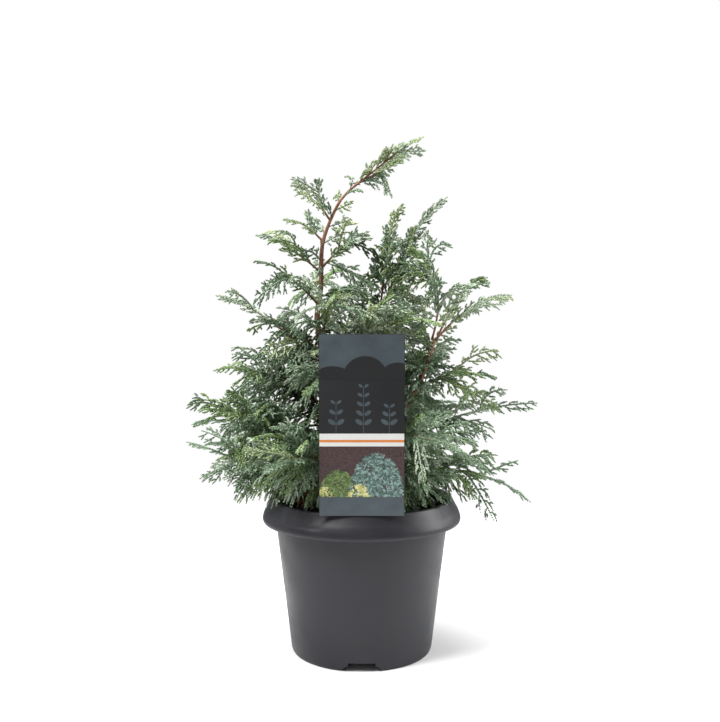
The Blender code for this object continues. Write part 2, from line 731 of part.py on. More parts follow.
def fuse(name, pieces, collection, material):
    """One union of all the pieces, applied, with the pieces then removed."""
    first, others = pieces[0], pieces[1:]
    group = bpy.data.collections.new(f"{name}_pieces")
    bpy.context.scene.collection.children.link(group)
    for item in others:
        for home in list(item.users_collection):
            home.objects.unlink(item)
        group.objects.link(item)
    change = first.modifiers.new("Fuse", "BOOLEAN")
    change.operation = "UNION"
    change.operand_type = "COLLECTION"
    change.collection = group
    change.solver = "EXACT"
    mesh = evaluated_mesh(first)
    drop(pieces)
    bpy.data.collections.remove(group)
    return put(name, mesh, collection, material)


def main():
    clear_scene()
    collection = make_collection("potted_cypress")
    cutters = make_collection("cutters", helper=True)
    helpers = make_collection("helpers", helper=True)
    plastic = make_material("pot_plastic", (0.058, 0.060, 0.066), 0.42)
    earth = make_material("soil", (0.030, 0.020, 0.014), 0.95)
    card = make_material("label_card", (0.070, 0.085, 0.100), 0.45)
    bark = make_material("bark", (0.150, 0.062, 0.036), 0.85)
    leaf = make_material("foliage", (0.150, 0.230, 0.190), 0.70)
    make_pot(collection, cutters, plastic)
    make_soil(collection, cutters, earth)
    make_label(collection, card)
    rings = limb_profiles(helpers)
    rows = np.array(TRUNK_COURSE)
    make_limb("trunk", rows[:, :3], rows[:, 3], rings[8], collection, bark)
    boughs, masses = plan_limbs()
    for name, (ends, thick) in boughs.items():
        radii = [thick * (1 - 0.45 * index / (len(ends) - 1)) for index in range(len(ends))]
        make_limb(name, ends, radii, rings[5], collection, bark)
    space = Space(boughs, masses)
    for name, plan in masses.items():
        make_mass(name, plan, space, rings, helpers, collection, leaf)


main()
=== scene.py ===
"""The looks of a young blue sawara cypress in its nursery container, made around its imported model.

The foliage grows again by the rule that the model's masses grew by: the same stems and the same
sprays come up, and here each spray is carried on to fine shoots, which are clothed in scale leaves.
"""

import random
import re
from math import atan2, cos, degrees, dist, hypot, pi, radians, sin, sqrt

import bmesh
import bpy
import numpy as np
from mathutils import Matrix, Vector, noise
from numpy.linalg import norm


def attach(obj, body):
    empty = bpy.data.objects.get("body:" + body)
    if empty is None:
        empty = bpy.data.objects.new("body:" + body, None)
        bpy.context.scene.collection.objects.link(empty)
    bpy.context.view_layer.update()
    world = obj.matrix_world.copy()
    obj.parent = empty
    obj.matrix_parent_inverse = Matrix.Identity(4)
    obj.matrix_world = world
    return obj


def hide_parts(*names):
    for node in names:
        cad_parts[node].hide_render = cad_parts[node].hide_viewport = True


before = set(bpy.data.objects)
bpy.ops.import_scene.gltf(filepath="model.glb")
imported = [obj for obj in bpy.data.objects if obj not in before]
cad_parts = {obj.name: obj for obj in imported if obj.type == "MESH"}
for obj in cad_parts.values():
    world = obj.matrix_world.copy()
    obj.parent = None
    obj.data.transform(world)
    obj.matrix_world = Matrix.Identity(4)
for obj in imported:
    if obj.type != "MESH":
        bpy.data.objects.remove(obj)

bl_info = {
    "name": "Potted blue sawara cypress",
    "version": (1, 0, 0),
    "blender": (4, 5, 0),
    "location": "View3D > Sidebar > Cypress",
    "description": "Makes the container, soil, label, bark and foliage of a young potted cypress",
    "category": "Add Mesh",
}

# The free space between neighbouring solids
GAP = 0.0003

# The container's own sizes, as the model has them
POT_HEIGHT = 0.15
FOOT_RADIUS = 0.0675
SHOULDER_RADIUS = 0.083
SHOULDER_HEIGHT = 0.1277
RIM_RADIUS = 0.0877
LIP_RADIUS = 0.0967
LIP_BOTTOM = 0.1276
WALL = 0.0014
FLOOR_UNDERSIDE = 0.009
NOTCH_COUNT = 3
# How far the wall stands out beyond the model's straight cone
BODY_SWELL = 0.001
# The lip's outer side: shares of its reach outward and of its drop
LIP_SIDE = (
    (0.02, 0.0), (0.1, 0.03), (0.25, 0.16), (0.48, 0.33), (0.72, 0.5), (0.89, 0.67),
    (0.98, 0.8), (1.0, 0.87), (0.975, 0.945), (0.92, 0.99),
)
# The sunk panel: bearing of its middle and span in degrees, corner radius, width of its sloped edge
PANEL_BEARING = -126
PANEL_SPAN = 30
PANEL_CORNER = 0.008
PANEL_EDGE = 0.0016
# How a notch flares towards the ground: shares of its height, and its width there as a share
NOTCH_FLARE = ((0.7, 1.02), (0.5, 1.2), (0.3, 1.36), (0.15, 1.48), (0.05, 1.62), (-0.3, 1.74))
NOTCH_ROUNDING = 0.0012
SOIL_TOP = 0.137
SOIL_CROWN = 0.0015
CHIP_SHARE = 0.35
LABEL_WIDTH = 0.0757
LABEL_BOTTOM = 0.1496
LABEL_TOP = 0.3108
LABEL_THICKNESS = 0.0008
LABEL_STAND_OFF = 0.0009
LABEL_CORNER = 0.0012
# How far each layer of print stands out from the one below it, and stays inside the card's edge
PRINT_RELIEF = 0.00003
PRINT_THICKNESS = 0.00004
PRINT_INSET = 0.0004
# The label's plain bands, all as wide as the card: foot and top as shares of its height, layer, ink
LABEL_BANDS = (
    (0.0, 0.105, 0, "slate"),
    (0.105, 0.385, 0, "ground"),
    (0.385, 0.455, 0, "pale"),
    (0.407, 0.421, 1, "line"),
    (0.755, 1.0, 0, "slate"),
)
# Its hills as shares of its width and height: middle, foot, half width, height, and layer
LABEL_HILLS = (
    (-0.34, 0.75, 0.24, 0.075, 1),
    (0.04, 0.75, 0.27, 0.13, 2),
    (0.42, 0.75, 0.22, 0.095, 1),
)
# Its sprigs: middle, foot and top of the stem
LABEL_SPRIGS = ((-0.3, 0.455, 0.62), (0.02, 0.455, 0.71), (0.32, 0.455, 0.6))
# The inks: grain and strength of the mottling, after the colour where that is no setting
CARD_INKS = {"card": (30.0, 0.05), "slate": (60.0, 0.18), "pale": (30.0, 0.03), "line": (30.0, 0.05)}
LABEL_INKS = {
    "ground": ((0.052, 0.03, 0.03), 480.0, 0.6),
    "mound": ((0.07, 0.125, 0.11), 420.0, 0.65),
    "moss": ((0.075, 0.125, 0.036), 420.0, 0.6),
    "straw": ((0.42, 0.4, 0.13), 420.0, 0.4),
    "mist": ((0.2, 0.3, 0.27), 0.0, 0.0),
    "leaf": ((0.16, 0.23, 0.075), 0.0, 0.0),
    "cream": ((0.62, 0.6, 0.3), 0.0, 0.0),
}
# The inks of the bushes: three leaf tones, the ground between them, and the three tones in light
CLUMP_TONES = ("mound", "moss", "straw", "ground", "mist", "leaf", "cream")
# The bushes: middle, half width and height as shares of the card, number of the tone, leaves
LABEL_CLUMPS = (
    (0.17, 0.32, 0.24, 0, 1500),
    (-0.27, 0.22, 0.15, 1, 620),
    (-0.04, 0.12, 0.07, 2, 240),
    (-0.43, 0.08, 0.055, 2, 110),
)
TONGUE_WIDTH = 0.024
TONGUE_FOOT = 0.112
TONGUE_CLEARANCE = 0.0032

# The trunk from the soil to its tip: x, y, height and radius
TRUNK_COURSE = (
    (0.0, 0.0, 0.1391, 0.0098),
    (0.0, 0.0, 0.144, 0.0068),
    (-0.005, 0.003, 0.16, 0.0058),
    (-0.016, 0.006, 0.204, 0.0049),
    (-0.032, 0.005, 0.262, 0.0038),
    (-0.043, 0.002, 0.3175, 0.0028),
    (-0.0395, 0.0, 0.3545, 0.0023),
    (-0.0388, 0.0, 0.388, 0.002),
    (-0.0345, 0.0, 0.408, 0.0017),
    (-0.023, 0.0, 0.4335, 0.0014),
    (-0.0115, 0.0, 0.4475, 0.0012),
    (0.008, 0.0, 0.463, 0.001),
    (0.03, 0.0, 0.4805, 0.0008),
)

# Boughs that leave the trunk: height of the root, tip of the foliage that the bough carries,
# bow of the whole course, and the share of the course that is bare bough
BOUGHS = {
    "bough_low_left": (0.156, (-0.176, 0.028, 0.201), (0, 0, -0.008), 0.32),
    "bough_low_right": (0.158, (0.16, -0.03, 0.152), (0, 0, 0.022), 0.32),
    "bough_left": (0.185, (-0.159, -0.036, 0.226), (0, 0, 0.012), 0.32),
    "bough_right": (0.176, (0.172, 0.006, 0.241), (0, 0, 0.014), 0.34),
    "bough_high_left": (0.27, (-0.14, 0.0, 0.347), (0, 0, 0.01), 0.36),
    "bough_middle_left": (0.222, (-0.148, 0.026, 0.272), (0, 0, 0.016), 0.3),
    "bough_middle_right": (0.205, (0.128, -0.022, 0.269), (0, 0, 0.02), 0.3),
    "bough_front_left": (0.168, (-0.084, -0.139, 0.196), (0, 0, 0.014), 0.32),
    "bough_front_right": (0.19, (0.088, -0.14, 0.212), (0, 0, 0.016), 0.32),
    "bough_back_left": (0.164, (-0.128, 0.092, 0.205), (0, 0, 0.012), 0.32),
    "bough_back_right": (0.178, (0.096, 0.128, 0.225), (0, 0, 0.014), 0.32),
    "bough_back": (0.23, (0.004, 0.142, 0.268), (0, 0, 0.016), 0.3),
    "bough_second_leader": (0.196, (0.0759, 0.004, 0.4487), (-0.014, 0.018, 0.0), 0.54),
    "bough_third_leader": (0.164, (0.036, -0.02, 0.397), (0.053, -0.022, 0.03), 0.46),
}

# Masses without a bough of their own: what carries the stem, the height of its root on the trunk,
# the furthest tip and the bow
MASSES = {
    "foliage_top": ("trunk", 0.4805, (0.0489, 0.0, 0.4945), (0, 0, 0.001)),
    "foliage_top_left": ("trunk", 0.418, (-0.0373, -0.006, 0.4602), (-0.006, 0, 0)),
    "foliage_top_outer_left": ("trunk", 0.398, (-0.049, 0.01, 0.4305), (-0.006, 0, 0)),
    "foliage_top_right": ("trunk", 0.456, (0.024, 0.004, 0.445), (0.004, 0, 0.008)),
    "foliage_crest_left": ("trunk", 0.368, (-0.1014, 0.008, 0.4075), (0, 0, 0.004)),
    "foliage_crest_left_front": ("trunk", 0.336, (-0.0986, -0.034, 0.3795), (0, 0, 0.006)),
    "foliage_crest_right": ("trunk", 0.372, (0.006, -0.03, 0.406), (0, 0, 0.004)),
    "foliage_crest_back": ("trunk", 0.33, (-0.052, 0.094, 0.374), (0, 0, 0.008)),
    "foliage_crest_front": ("trunk", 0.3, (-0.022, -0.112, 0.345), (0, 0, 0.01)),
    "foliage_second_leader_side": ("bough_second_leader", 0, (0.033, 0.03, 0.4478), (0, 0, 0)),
    "foliage_third_leader_right": ("bough_third_leader", 0, (0.147, 0.0, 0.3437), (0, 0, 0.012)),
    "foliage_third_leader_outer": ("bough_third_leader", 0, (0.108, -0.062, 0.3654), (0, 0, 0.008)),
}

# Rings of foliage close round the trunk: root height, number, first bearing in degrees,
# reach, height of the tips and bow
RINGS = (
    ("foliage_rim", 0.1465, 6, -112, 0.114, 0.128, 0.04),
    ("foliage_inner_low", 0.172, 4, -66, 0.122, 0.196, 0.014),
    ("foliage_inner_middle", 0.24, 3, -105, 0.11, 0.272, 0.012),
    ("foliage_inner_high", 0.286, 3, -50, 0.108, 0.322, 0.01),
)
LABEL_SECTOR = 34
LABEL_REACH = 0.072
BOUGH_STEPS = 5
LIMB_TAPER = 0.45
ROOT_FLARE = 0.0118
TRUNK_LENGTH = 0.37

# The crown's greatest reach sideways at each height, and how deep it is for its width
CROWN_PROFILE = (
    (0.118, 0.108),
    (0.15, 0.16),
    (0.2, 0.1775),
    (0.245, 0.1735),
    (0.272, 0.15),
    (0.3, 0.138),
    (0.345, 0.15),
    (0.38, 0.112),
    (0.41, 0.104),
    (0.435, 0.08),
    (0.4955, 0.076),
)
CROWN_DEPTH = 0.85
TIP_SPREAD = 0.0026

# The rule that the sprays grow by
SEED = 1
STEM_RADIUS = 0.0011
END_SPRAY_SHARE = 0.4
END_SPRAY_LENGTH = 0.055
SIDE_SPRAY_LENGTH = 0.072
SPRAY_TEETH = 4
SHORT_SPRAY = 0.053
SPRAY_DROOP = 0.12
FULL_SPRAY = 0.38
SLIM_SPRAY = 0.32
SLIM_ABOVE = 0.335
TWIG_SPACING = 0.021
TRIALS = 5
TRIAL_SHRINK = 0.9
SIDE_SPRAY_FORWARD = 1.3
SIDE_ANGLE = 46
SIDE_ROLL = 72
END_ROLL = 45
SPACE_SHARE = 1.35
STEM_MARGIN = 0.0045
SPRAY_MARGIN = 0.006
SISTER_REACH = 0.01
SISTER_MARGIN = 0.004
LIMB_MARGIN = 0.001

# The same rule carried on inside each spray: where the side shoots stand on the rib, how the
# shoots on them are spaced, and how all of them bend. Swells are stretches of a sine's arch, as
# the share of the arch where they start and the share that follows. Pairs named for sizes,
# droops or lengths are the least and the greatest share that a draw gives.
RIB_FOOT = 0.1
RIB_TOP = 0.94
SHOOT_ANGLE = 50
SHOOT_FORWARD_BEND = 0.42
SHOOT_DROOP = 0.34
SHOOT_SHARE = 0.84
INNER_SHOOT = 0.017
OUTER_SHOOT = 0.015
OUTER_LONG_SHOOT = 0.02
HIGH_SHOOT = 0.015
HIGH_FROM = 0.318
LEAST_WIDTH = 0.01
RIB_RADIUS = 0.0006
RIB_JITTER = 0.012
SHOOT_RADIUS = 0.0005
SHOOT_SWELL = (0.25, 0.66)
SHOOT_SIZES = (0.62, 1.12)
SHOOT_CAPS = (0.8, 1.1)
SHOOT_SPREAD = 14
SHOOT_TILT = 0.32
SHOOT_DROOPS = (0.2, 1.6)
LEAST_SHOOT = 0.0045
LONG_SHARE = 0.35
ARCH = 0.24
SWAY = 0.12
LEAN_OUT = 0.55
LEAN_DOWN = 0.5
LOWEST_TIP = 0.136
RIB_SHARES = (0.6, 0.7, 0.8, 0.9, 1.0)
SPACING_SHARE = 0.72
WIDEST_SPACING = 0.011
TWIGLET_ANGLE = 42
TWIGLET_LENGTH = 0.0066
TWIGLET_SHARE = 0.42
TWIGLET_RADIUS = 0.00036
TWIGLET_SWELL = (0.36, 0.56)
TWIGLET_SIZES = (0.7, 1.2)
TWIGLET_SPREAD = 8
TWIGLET_TILT = 0.22
TWIGLET_BEND = 0.25
LEAST_TWIGLET = 0.003
BARE_SHOOT = 0.0068
LEAF_FOOT = 0.06
LEAF_SPLAYS = (17, 11)
LEAF_SPREAD = 4
LEAF_SIZES = (0.92, 1.06)
PRESSED = 16
END_PRESS = 0.3
PLUME_MASSES = {"foliage_top": 0.8, "foliage_second_leader": 0.45, "foliage_second_leader_side": 0.2}
STEM_SHOOT = 0.012
PLUME_STEM_SHOOT = 0.015
STEEP = 0.6
STEEP_ROLLS = ((70, 110), (-20, 20))
STEM_ROLLS = ((-60, 60),)
BOUGH_ROLLS = ((-80, 0), (0, 80))
PLUME_SPRAY = 0.025
PLUME_WIDTH = 0.26
PLUME_SPACING = 0.005
PLUME_ANGLE = 26
PLUME_TURN = 0.6
SIDE_PLUMES = {"foliage_second_leader": 0.4, "foliage_second_leader_side": 0.45}
CLOTHED_FROM = 0.13
EDGE_SLACK = 0.006
LEAF_ROOM = 0.0045
LABEL_SHARES = (0.1, 0.25, 0.4, 0.55, 0.7, 0.85, 1.0)

# The same rule carried on between the model's sprays: more side sprays on the stems of the masses,
# on the boughs and on the trunk, each given up where the crown is already full
GRID_START = (-0.2, -0.17, 0.1)
GRID_CELLS = (134, 114, 134)
CELL = 0.003
FULL_SHARE = 0.34
LIMB_FULL = 0.58
FILL_LENGTH = 0.054
FILL_WIDTH = 0.3
FILL_ROLL = 180
FILL_ANGLES = (38, 60)
TRUNK_SPRAY = 0.048
BOUGH_SPRAY = 0.036
OPEN_ABOVE = 0.325
TOP_ABOVE = 0.42
GOLDEN_ANGLE = 137.5

# Where the crown is dense: at each height, how far it reaches to the left and to the right
DENSE_CORE = (
    (0.12, -0.08, 0.08),
    (0.16, -0.118, 0.092),
    (0.22, -0.135, 0.09),
    (0.27, -0.118, 0.076),
    (0.29, -0.078, 0.072),
    (0.305, -0.054, 0.068),
    (0.33, -0.038, 0.062),
    (0.355, -0.014, 0.058),
    (0.385, 0.012, 0.05),
    (0.405, 0.02, 0.042),
)
CORE_DEPTH = 0.9
OPEN_SPACING = 4.0
STEEPEST_DROP = -0.45

# The places inside the crown that sprays are sent into while they are empty
ROOM_TRIES = 4600
ROOM_FULL = 0.062
ROOM_SHARE = 0.5
FOOT_SHARE = 0.22
FOOT_BAND = (0.145, 0.185)
ROOM_REACH = (0.024, 0.052)
ROOM_SPLITS = (0.2, 0.26)
COARSE_LEAF = 1.35
CORE_SHOOT = 0.008

# The colours of the sprays. Deep ones are painted shade: their dark colour stands in for the shade
# inside the crown. They lie within a reach of the trunk, up to a height and fading out below it,
# and in the shaded hollow between the leaders, which is given by its middle and its half width and
# height. Elsewhere each colour has its share of the draws above a height, and the rest is blue.
LEAF_KINDS = ("blue", "silver", "green", "fresh", "deep", "rust")
SHADE_REACH = 0.064
SHADE_BELOW = 0.345
SHADE_FADE = 0.09
SHADE_SHARE = 0.76
SHADED = (0.018, 0.37, 0.038, 0.03)
SHADED_SHARES = (0.22, 0.8)
RUST_REACH = 0.085
RUST_BELOW = 0.215
RUST_SHARE = 0.18
FRESH_TIP = 0.455
COLOUR_SHARES = (
    (0.4, (("fresh", 0.28), ("silver", 0.46))),
    (0.29, (("fresh", 0.13), ("green", 0.13), ("silver", 0.48))),
    (0.0, (("fresh", 0.02), ("green", 0.22), ("silver", 0.14))),
)

# The pieces that the leaves are joined in: those of the masses, then those of the sprays added on
# the limbs and inside the crown. The masses' names are held against the patterns in this order.
LEAF_PIECES = ("top", "left", "right", "low_left", "low_right", "inner", "rim", "back")
ADDED_PIECES = ("limbs", "core_low", "core_middle", "core_high")
LEAF_PATTERNS = (
    ("rim", "rim"),
    ("inner", "inner"),
    ("back", "back|.*back$"),
    ("top", "top|.*leader"),
    ("low_left", "(low_|front_)?left$"),
    ("low_right", "(low_|front_)?right$"),
    ("left", ".*left"),
    ("right", ""),
)

# The panels of light: name, place, power in watts and size
LIGHTS = (
    ("key", (-0.95, -0.7, 1.55), 42.0, 0.7),
    ("top", (-0.15, 0.1, 1.8), 38.0, 1.0),
    ("right", (1.3, 0.15, 0.6), 25.0, 0.9),
    ("left", (-1.3, 0.35, 0.4), 1.0, 0.9),
)
LIGHT_AIM = (0, 0, 0.25)
FLOOR_RADIUS = 0.9
FLOOR_FADE = (0.3, 0.8)

# How finely curves are worked out, how close points are welded after a spin, and the range of
# the noise that the mottling and the roughness follow
CURVE_STEPS = 24
SPIN_WELD = 0.000004
NOISE_RANGE = (0.3, 0.7)


def whole(name, description, default, least):
    return bpy.props.IntProperty(name=name, description=description, default=default, min=least)


def number(name, description, default, **more):
    return bpy.props.FloatProperty(name=name, description=description, default=default, **more)


def metres(name, description, default):
    return number(name, description, default, unit="LENGTH")


def tint(name, description, default):
    return bpy.props.FloatVectorProperty(
        name=name, description=description, default=default, subtype="COLOR", min=0, max=1
    )


class PotSettings(bpy.types.PropertyGroup):
    """The container and its plastic."""

    steps: whole("Steps round", "Faces round the container", 288, 24)
    notch_height: metres("Notch height", "Height of the drainage notches in the foot", 0.0085)
    notch_width: metres("Notch width", "Width of a drainage notch at its top", 0.0255)
    panel_depth: metres("Panel depth", "How deep the plain panel is sunk in the lip", 0.0007)
    colour: tint("Plastic", "Colour of the container's plastic", (0.0158, 0.0158, 0.0205))


class SoilSettings(bpy.types.PropertyGroup):
    """The potting soil and its crumbs."""

    lump_height: metres("Lumps", "How far the soil's surface rises and falls", 0.0022)
    crumb_count: whole("Crumbs", "Crumbs of peat and chips of bark on the soil", 900, 0)
    crumb_size: metres("Crumb size", "Length of the largest crumbs", 0.0075)
    colour: tint("Soil", "Colour of the moist soil", (0.03, 0.019, 0.012))
    chip_colour: tint("Chips", "Colour of the bark chips", (0.085, 0.048, 0.028))


class LabelSettings(bpy.types.PropertyGroup):
    """The plain picture label."""

    card_colour: tint("Card", "Colour of the card's upper panel", (0.012, 0.0125, 0.0135))
    slate_colour: tint("Slate", "Colour of the motif and of the foot band", (0.052, 0.068, 0.078))
    pale_colour: tint("Pale band", "Colour of the pale band", (0.62, 0.62, 0.6))
    line_colour: tint("Line", "Colour of the thin line", (0.58, 0.19, 0.045))


class LimbSettings(bpy.types.PropertyGroup):
    """The trunk, the boughs and their bark."""

    ring_spacing: metres("Ring spacing", "Distance between the rings of a limb's mesh", 0.0012)
    ridge_depth: number(
        "Ridge depth", "Relief of the bark as a share of the limb's radius", 0.16, min=0, max=0.5
    )
    colour: tint("Bark", "Colour of the young bark", (0.185, 0.078, 0.046))


class FoliageSettings(bpy.types.PropertyGroup):
    """The shoots and their scale leaves."""

    shoot_spacing: metres("Shoot spacing", "Distance between the side shoots of a rib", 0.0062)
    twiglet_spacing: metres("Twiglet spacing", "Distance between a side shoot's twiglets", 0.0042)
    leaf_spacing: metres("Leaf spacing", "Distance between the pairs of leaves", 0.00175)
    leaf_length: metres("Leaf length", "Length of a scale leaf", 0.0034)
    leaf_width: metres("Leaf width", "Width of a scale leaf", 0.0023)
    fill_spacing: metres("Fill spacing", "Distance between the sprays added to a stem", 0.0065)
    limb_spacing: metres("Limb spacing", "Distance between the sprays along a limb", 0.0075)
    blue: tint("Blue", "Colour of most sprays", (0.17, 0.246, 0.152))
    silver: tint("Silver", "Colour of the sprays with the most bloom", (0.31, 0.38, 0.272))
    green: tint("Green", "Colour of the greener sprays", (0.19, 0.275, 0.112))
    fresh: tint("Fresh", "Colour of the young growth at the tips", (0.305, 0.375, 0.198))
    # The deep colour is painted shade: a dark tint for the sprays inside the crown
    deep: tint("Deep", "Colour of the shaded inner sprays", (0.054, 0.088, 0.036))
    rust: tint("Rust", "Colour of the few withered sprays", (0.175, 0.085, 0.034))
    young_stem: tint("Young stems", "Colour of the green shoots' cores", (0.115, 0.125, 0.048))


class StageSettings(bpy.types.PropertyGroup):
    """The camera, the floor and the light."""

    camera_place: bpy.props.FloatVectorProperty(
        name="Camera", description="Where the camera stands",
        default=(-0.0016, -0.9, 0.3293), subtype="TRANSLATION",
    )
    camera_pitch: number("Pitch", "How far the camera looks down", 0.052, subtype="ANGLE")
    camera_lens: number("Lens", "Focal length in millimetres", 46.09)
    floor_colour: tint("Floor", "Colour of the floor", (0.88, 0.88, 0.88))
    surround: number("Surround", "Strength of the light from all round", 0.32)


class CypressSettings(bpy.types.PropertyGroup):
    """All the settings of the potted plant."""

    pot: bpy.props.PointerProperty(type=PotSettings)
    soil: bpy.props.PointerProperty(type=SoilSettings)
    label: bpy.props.PointerProperty(type=LabelSettings)
    limbs: bpy.props.PointerProperty(type=LimbSettings)
    foliage: bpy.props.PointerProperty(type=FoliageSettings)
    stage: bpy.props.PointerProperty(type=StageSettings)


# Making meshes


def deselect_all():
    if bpy.context.object and bpy.context.object.mode != "OBJECT":
        bpy.ops.object.mode_set(mode="OBJECT")
    bpy.ops.object.select_all(action="DESELECT")


def activate(item):
    deselect_all()
    item.select_set(True)
    bpy.context.view_layer.objects.active = item


def rename(item, name):
    item.name = name
    item.data.name = name
    return item


def apply_modifiers(item):
    activate(item)
    for change in list(item.modifiers):
        bpy.ops.object.modifier_apply(modifier=change.name)


def settle(item, name):
    """Puts the object's place into its mesh and names both."""
    activate(item)
    bpy.ops.object.transform_apply(location=True, rotation=True, scale=True)
    rename(item, name)


def join(items, name):
    deselect_all()
    for item in items:
        item.select_set(True)
    bpy.context.view_layer.objects.active = items[0]
    bpy.ops.object.join()
    return rename(items[0], name)


def round_edges(item, width, segments, angle):
    """Bevels the edges that are sharper than an angle in degrees."""
    bevel = item.modifiers.new("Round", "BEVEL")
    bevel.width = width
    bevel.segments = segments
    bevel.limit_method = "ANGLE"
    bevel.angle_limit = radians(angle)
    apply_modifiers(item)


def smooth(item, angle):
    activate(item)
    bpy.ops.object.shade_smooth_by_angle(angle=radians(angle))


def select_parts(item, kind, wanted):
    """Goes into edit mode with only the wanted faces or edges selected."""
    activate(item)
    bpy.ops.object.mode_set(mode="EDIT")
    bpy.ops.mesh.select_all(action="DESELECT")
    bpy.ops.mesh.select_mode(type=kind)
    shape = bmesh.from_edit_mesh(item.data)
    for part in shape.faces if kind == "FACE" else shape.edges:
        part.select = wanted(part)
    bmesh.update_edit_mesh(item.data)


def paint(item, *materials):
    item.data.materials.clear()
    for material in materials:
        item.data.materials.append(material)


def finish_piece(item, slot_name, *nodes):
    """Makes the piece ride with the pot and stand for the model's nodes."""
    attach(item, "root")
    if nodes:
        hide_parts(*nodes)


def mesh_from_arrays(name, places, faces, materials=(), kinds=None, round_shading=False):
    """A new object of triangles from arrays, at the origin."""
    mesh = bpy.data.meshes.new(name)
    mesh.vertices.add(len(places))
    mesh.vertices.foreach_set("co", np.ascontiguousarray(places, np.float32).ravel())
    mesh.loops.add(faces.size)
    mesh.loops.foreach_set("vertex_index", np.ascontiguousarray(faces, np.int32).ravel())
    mesh.polygons.add(len(faces))
    mesh.polygons.foreach_set("loop_start", np.arange(0, faces.size, 3, dtype=np.int32))
    for material in materials:
        mesh.materials.append(material)
    if kinds is not None:
        mesh.polygons.foreach_set("material_index", np.ascontiguousarray(kinds, np.int32))
    mesh.polygons.foreach_set("use_smooth", np.full(len(faces), round_shading))
    mesh.update(calc_edges=True)
    mesh.validate()
    item = bpy.data.objects.new(name, mesh)
    bpy.context.scene.collection.objects.link(item)
    return item


def spin_profile(profile, steps, name):
    """Draws a profile of (radius, height) points by extruding, and spins it about the Z axis."""
    deselect_all()
    bpy.ops.mesh.primitive_plane_add(size=0.01, enter_editmode=True)
    bpy.ops.mesh.merge(type="CENTER")
    item = bpy.context.object
    radius, height = profile[0]
    place = Vector((radius, 0, height))
    bpy.ops.transform.translate(value=place)
    for radius, height in profile[1:]:
        step = Vector((radius, 0, height)) - place
        bpy.ops.mesh.extrude_region_move(TRANSFORM_OT_translate={"value": step})
        place += step
    bpy.ops.mesh.select_all(action="SELECT")
    bpy.ops.mesh.spin(steps=steps, angle=2 * pi, center=(0, 0, 0), axis=(0, 0, 1))
    bpy.ops.mesh.select_all(action="SELECT")
    bpy.ops.mesh.remove_doubles(threshold=SPIN_WELD)
    bpy.ops.mesh.normals_make_consistent(inside=False)
    bpy.ops.object.mode_set(mode="OBJECT")
    return rename(item, name)


def smooth_course(points, count):
    """Points evenly along a Catmull-Rom curve through the given rows of numbers."""
    rows = np.array(points, float)
    padded = np.vstack([2 * rows[0] - rows[1], rows, 2 * rows[-1] - rows[-2]])
    out = []
    for i in range(1, len(padded) - 2):
        a, b, c, d = padded[i - 1:i + 3]
        for t in np.linspace(0, 1, CURVE_STEPS, endpoint=False):
            square = (2 * a - 5 * b + 4 * c - d) * t * t
            cube = (3 * b - a - 3 * c + d) * t**3
            out.append(0.5 * (2 * b + (c - a) * t + square + cube))
    out = np.array(out + [rows[-1]])
    run = travelled(out[:, :3])
    return at_distance(np.linspace(0, run[-1], count), run, out)


def travelled(points):
    """How far along the course each of its points lies."""
    return np.concatenate([[0], np.cumsum(norm(np.diff(points, axis=0), axis=1))])


def at_distance(at, run, rows):
    """The rows' numbers at distances along their course."""
    return np.stack([np.interp(at, run, rows[:, k]) for k in range(rows.shape[1])], axis=-1)


# Materials


def new_material(name, colour, roughness, **sockets):
    """A material whose shader has its plain values on its own sockets."""
    material = bpy.data.materials.new(name)
    material.use_nodes = True
    shader = material.node_tree.nodes["Principled BSDF"]
    shader.inputs["Base Color"].default_value = (*colour, 1)
    shader.inputs["Roughness"].default_value = roughness
    for socket, value in sockets.items():
        shader.inputs[socket.replace("_", " ")].default_value = value
    material.diffuse_color = (*colour, 1)
    return material


def add_node(tree, kind, **settings):
    node = tree.nodes.new(kind)
    for key, value in settings.items():
        setattr(node, key, value)
    return node


def set_inputs(node, **values):
    for key, value in values.items():
        node.inputs[key].default_value = value
    return node


def ranged(tree, source, bounds, targets=(0.0, 1.0)):
    """The given value carried from one range to another."""
    node = add_node(tree, "ShaderNodeMapRange")
    names = ("From Min", "From Max", "To Min", "To Max")
    set_inputs(node, **dict(zip(names, (*bounds, *targets))))
    tree.links.new(source, node.inputs["Value"])
    return node.outputs["Result"]


def mottle_group():
    """A node group that varies a colour by noise at one scale: lighter and darker."""
    group = bpy.data.node_groups.get("Mottle")
    if group:
        return group
    group = bpy.data.node_groups.new("Mottle", "ShaderNodeTree")
    for name, way, kind in (
        ("Colour", "INPUT", "Color"),
        ("Scale", "INPUT", "Float"),
        ("Amount", "INPUT", "Float"),
        ("Colour", "OUTPUT", "Color"),
        ("Mask", "OUTPUT", "Float"),
    ):
        group.interface.new_socket(name, in_out=way, socket_type=f"NodeSocket{kind}")
    enter = add_node(group, "NodeGroupInput")
    leave = add_node(group, "NodeGroupOutput")
    place = add_node(group, "ShaderNodeTexCoord")
    cloud = set_inputs(add_node(group, "ShaderNodeTexNoise"), Detail=4.0, Roughness=0.6)
    spread = ranged(group, cloud.outputs["Fac"], NOISE_RANGE, (-1.0, 1.0))
    share = add_node(group, "ShaderNodeMath", operation="MULTIPLY_ADD")
    share.inputs[2].default_value = 1.0
    tone = add_node(group, "ShaderNodeVectorMath", operation="SCALE")
    link = group.links.new
    link(place.outputs["Object"], cloud.inputs["Vector"])
    link(enter.outputs["Scale"], cloud.inputs["Scale"])
    link(spread, share.inputs[0])
    link(enter.outputs["Amount"], share.inputs[1])
    link(enter.outputs["Colour"], tone.inputs[0])
    link(share.outputs["Value"], tone.inputs["Scale"])
    link(tone.outputs["Vector"], leave.inputs["Colour"])
    link(cloud.outputs["Fac"], leave.inputs["Mask"])
    return group


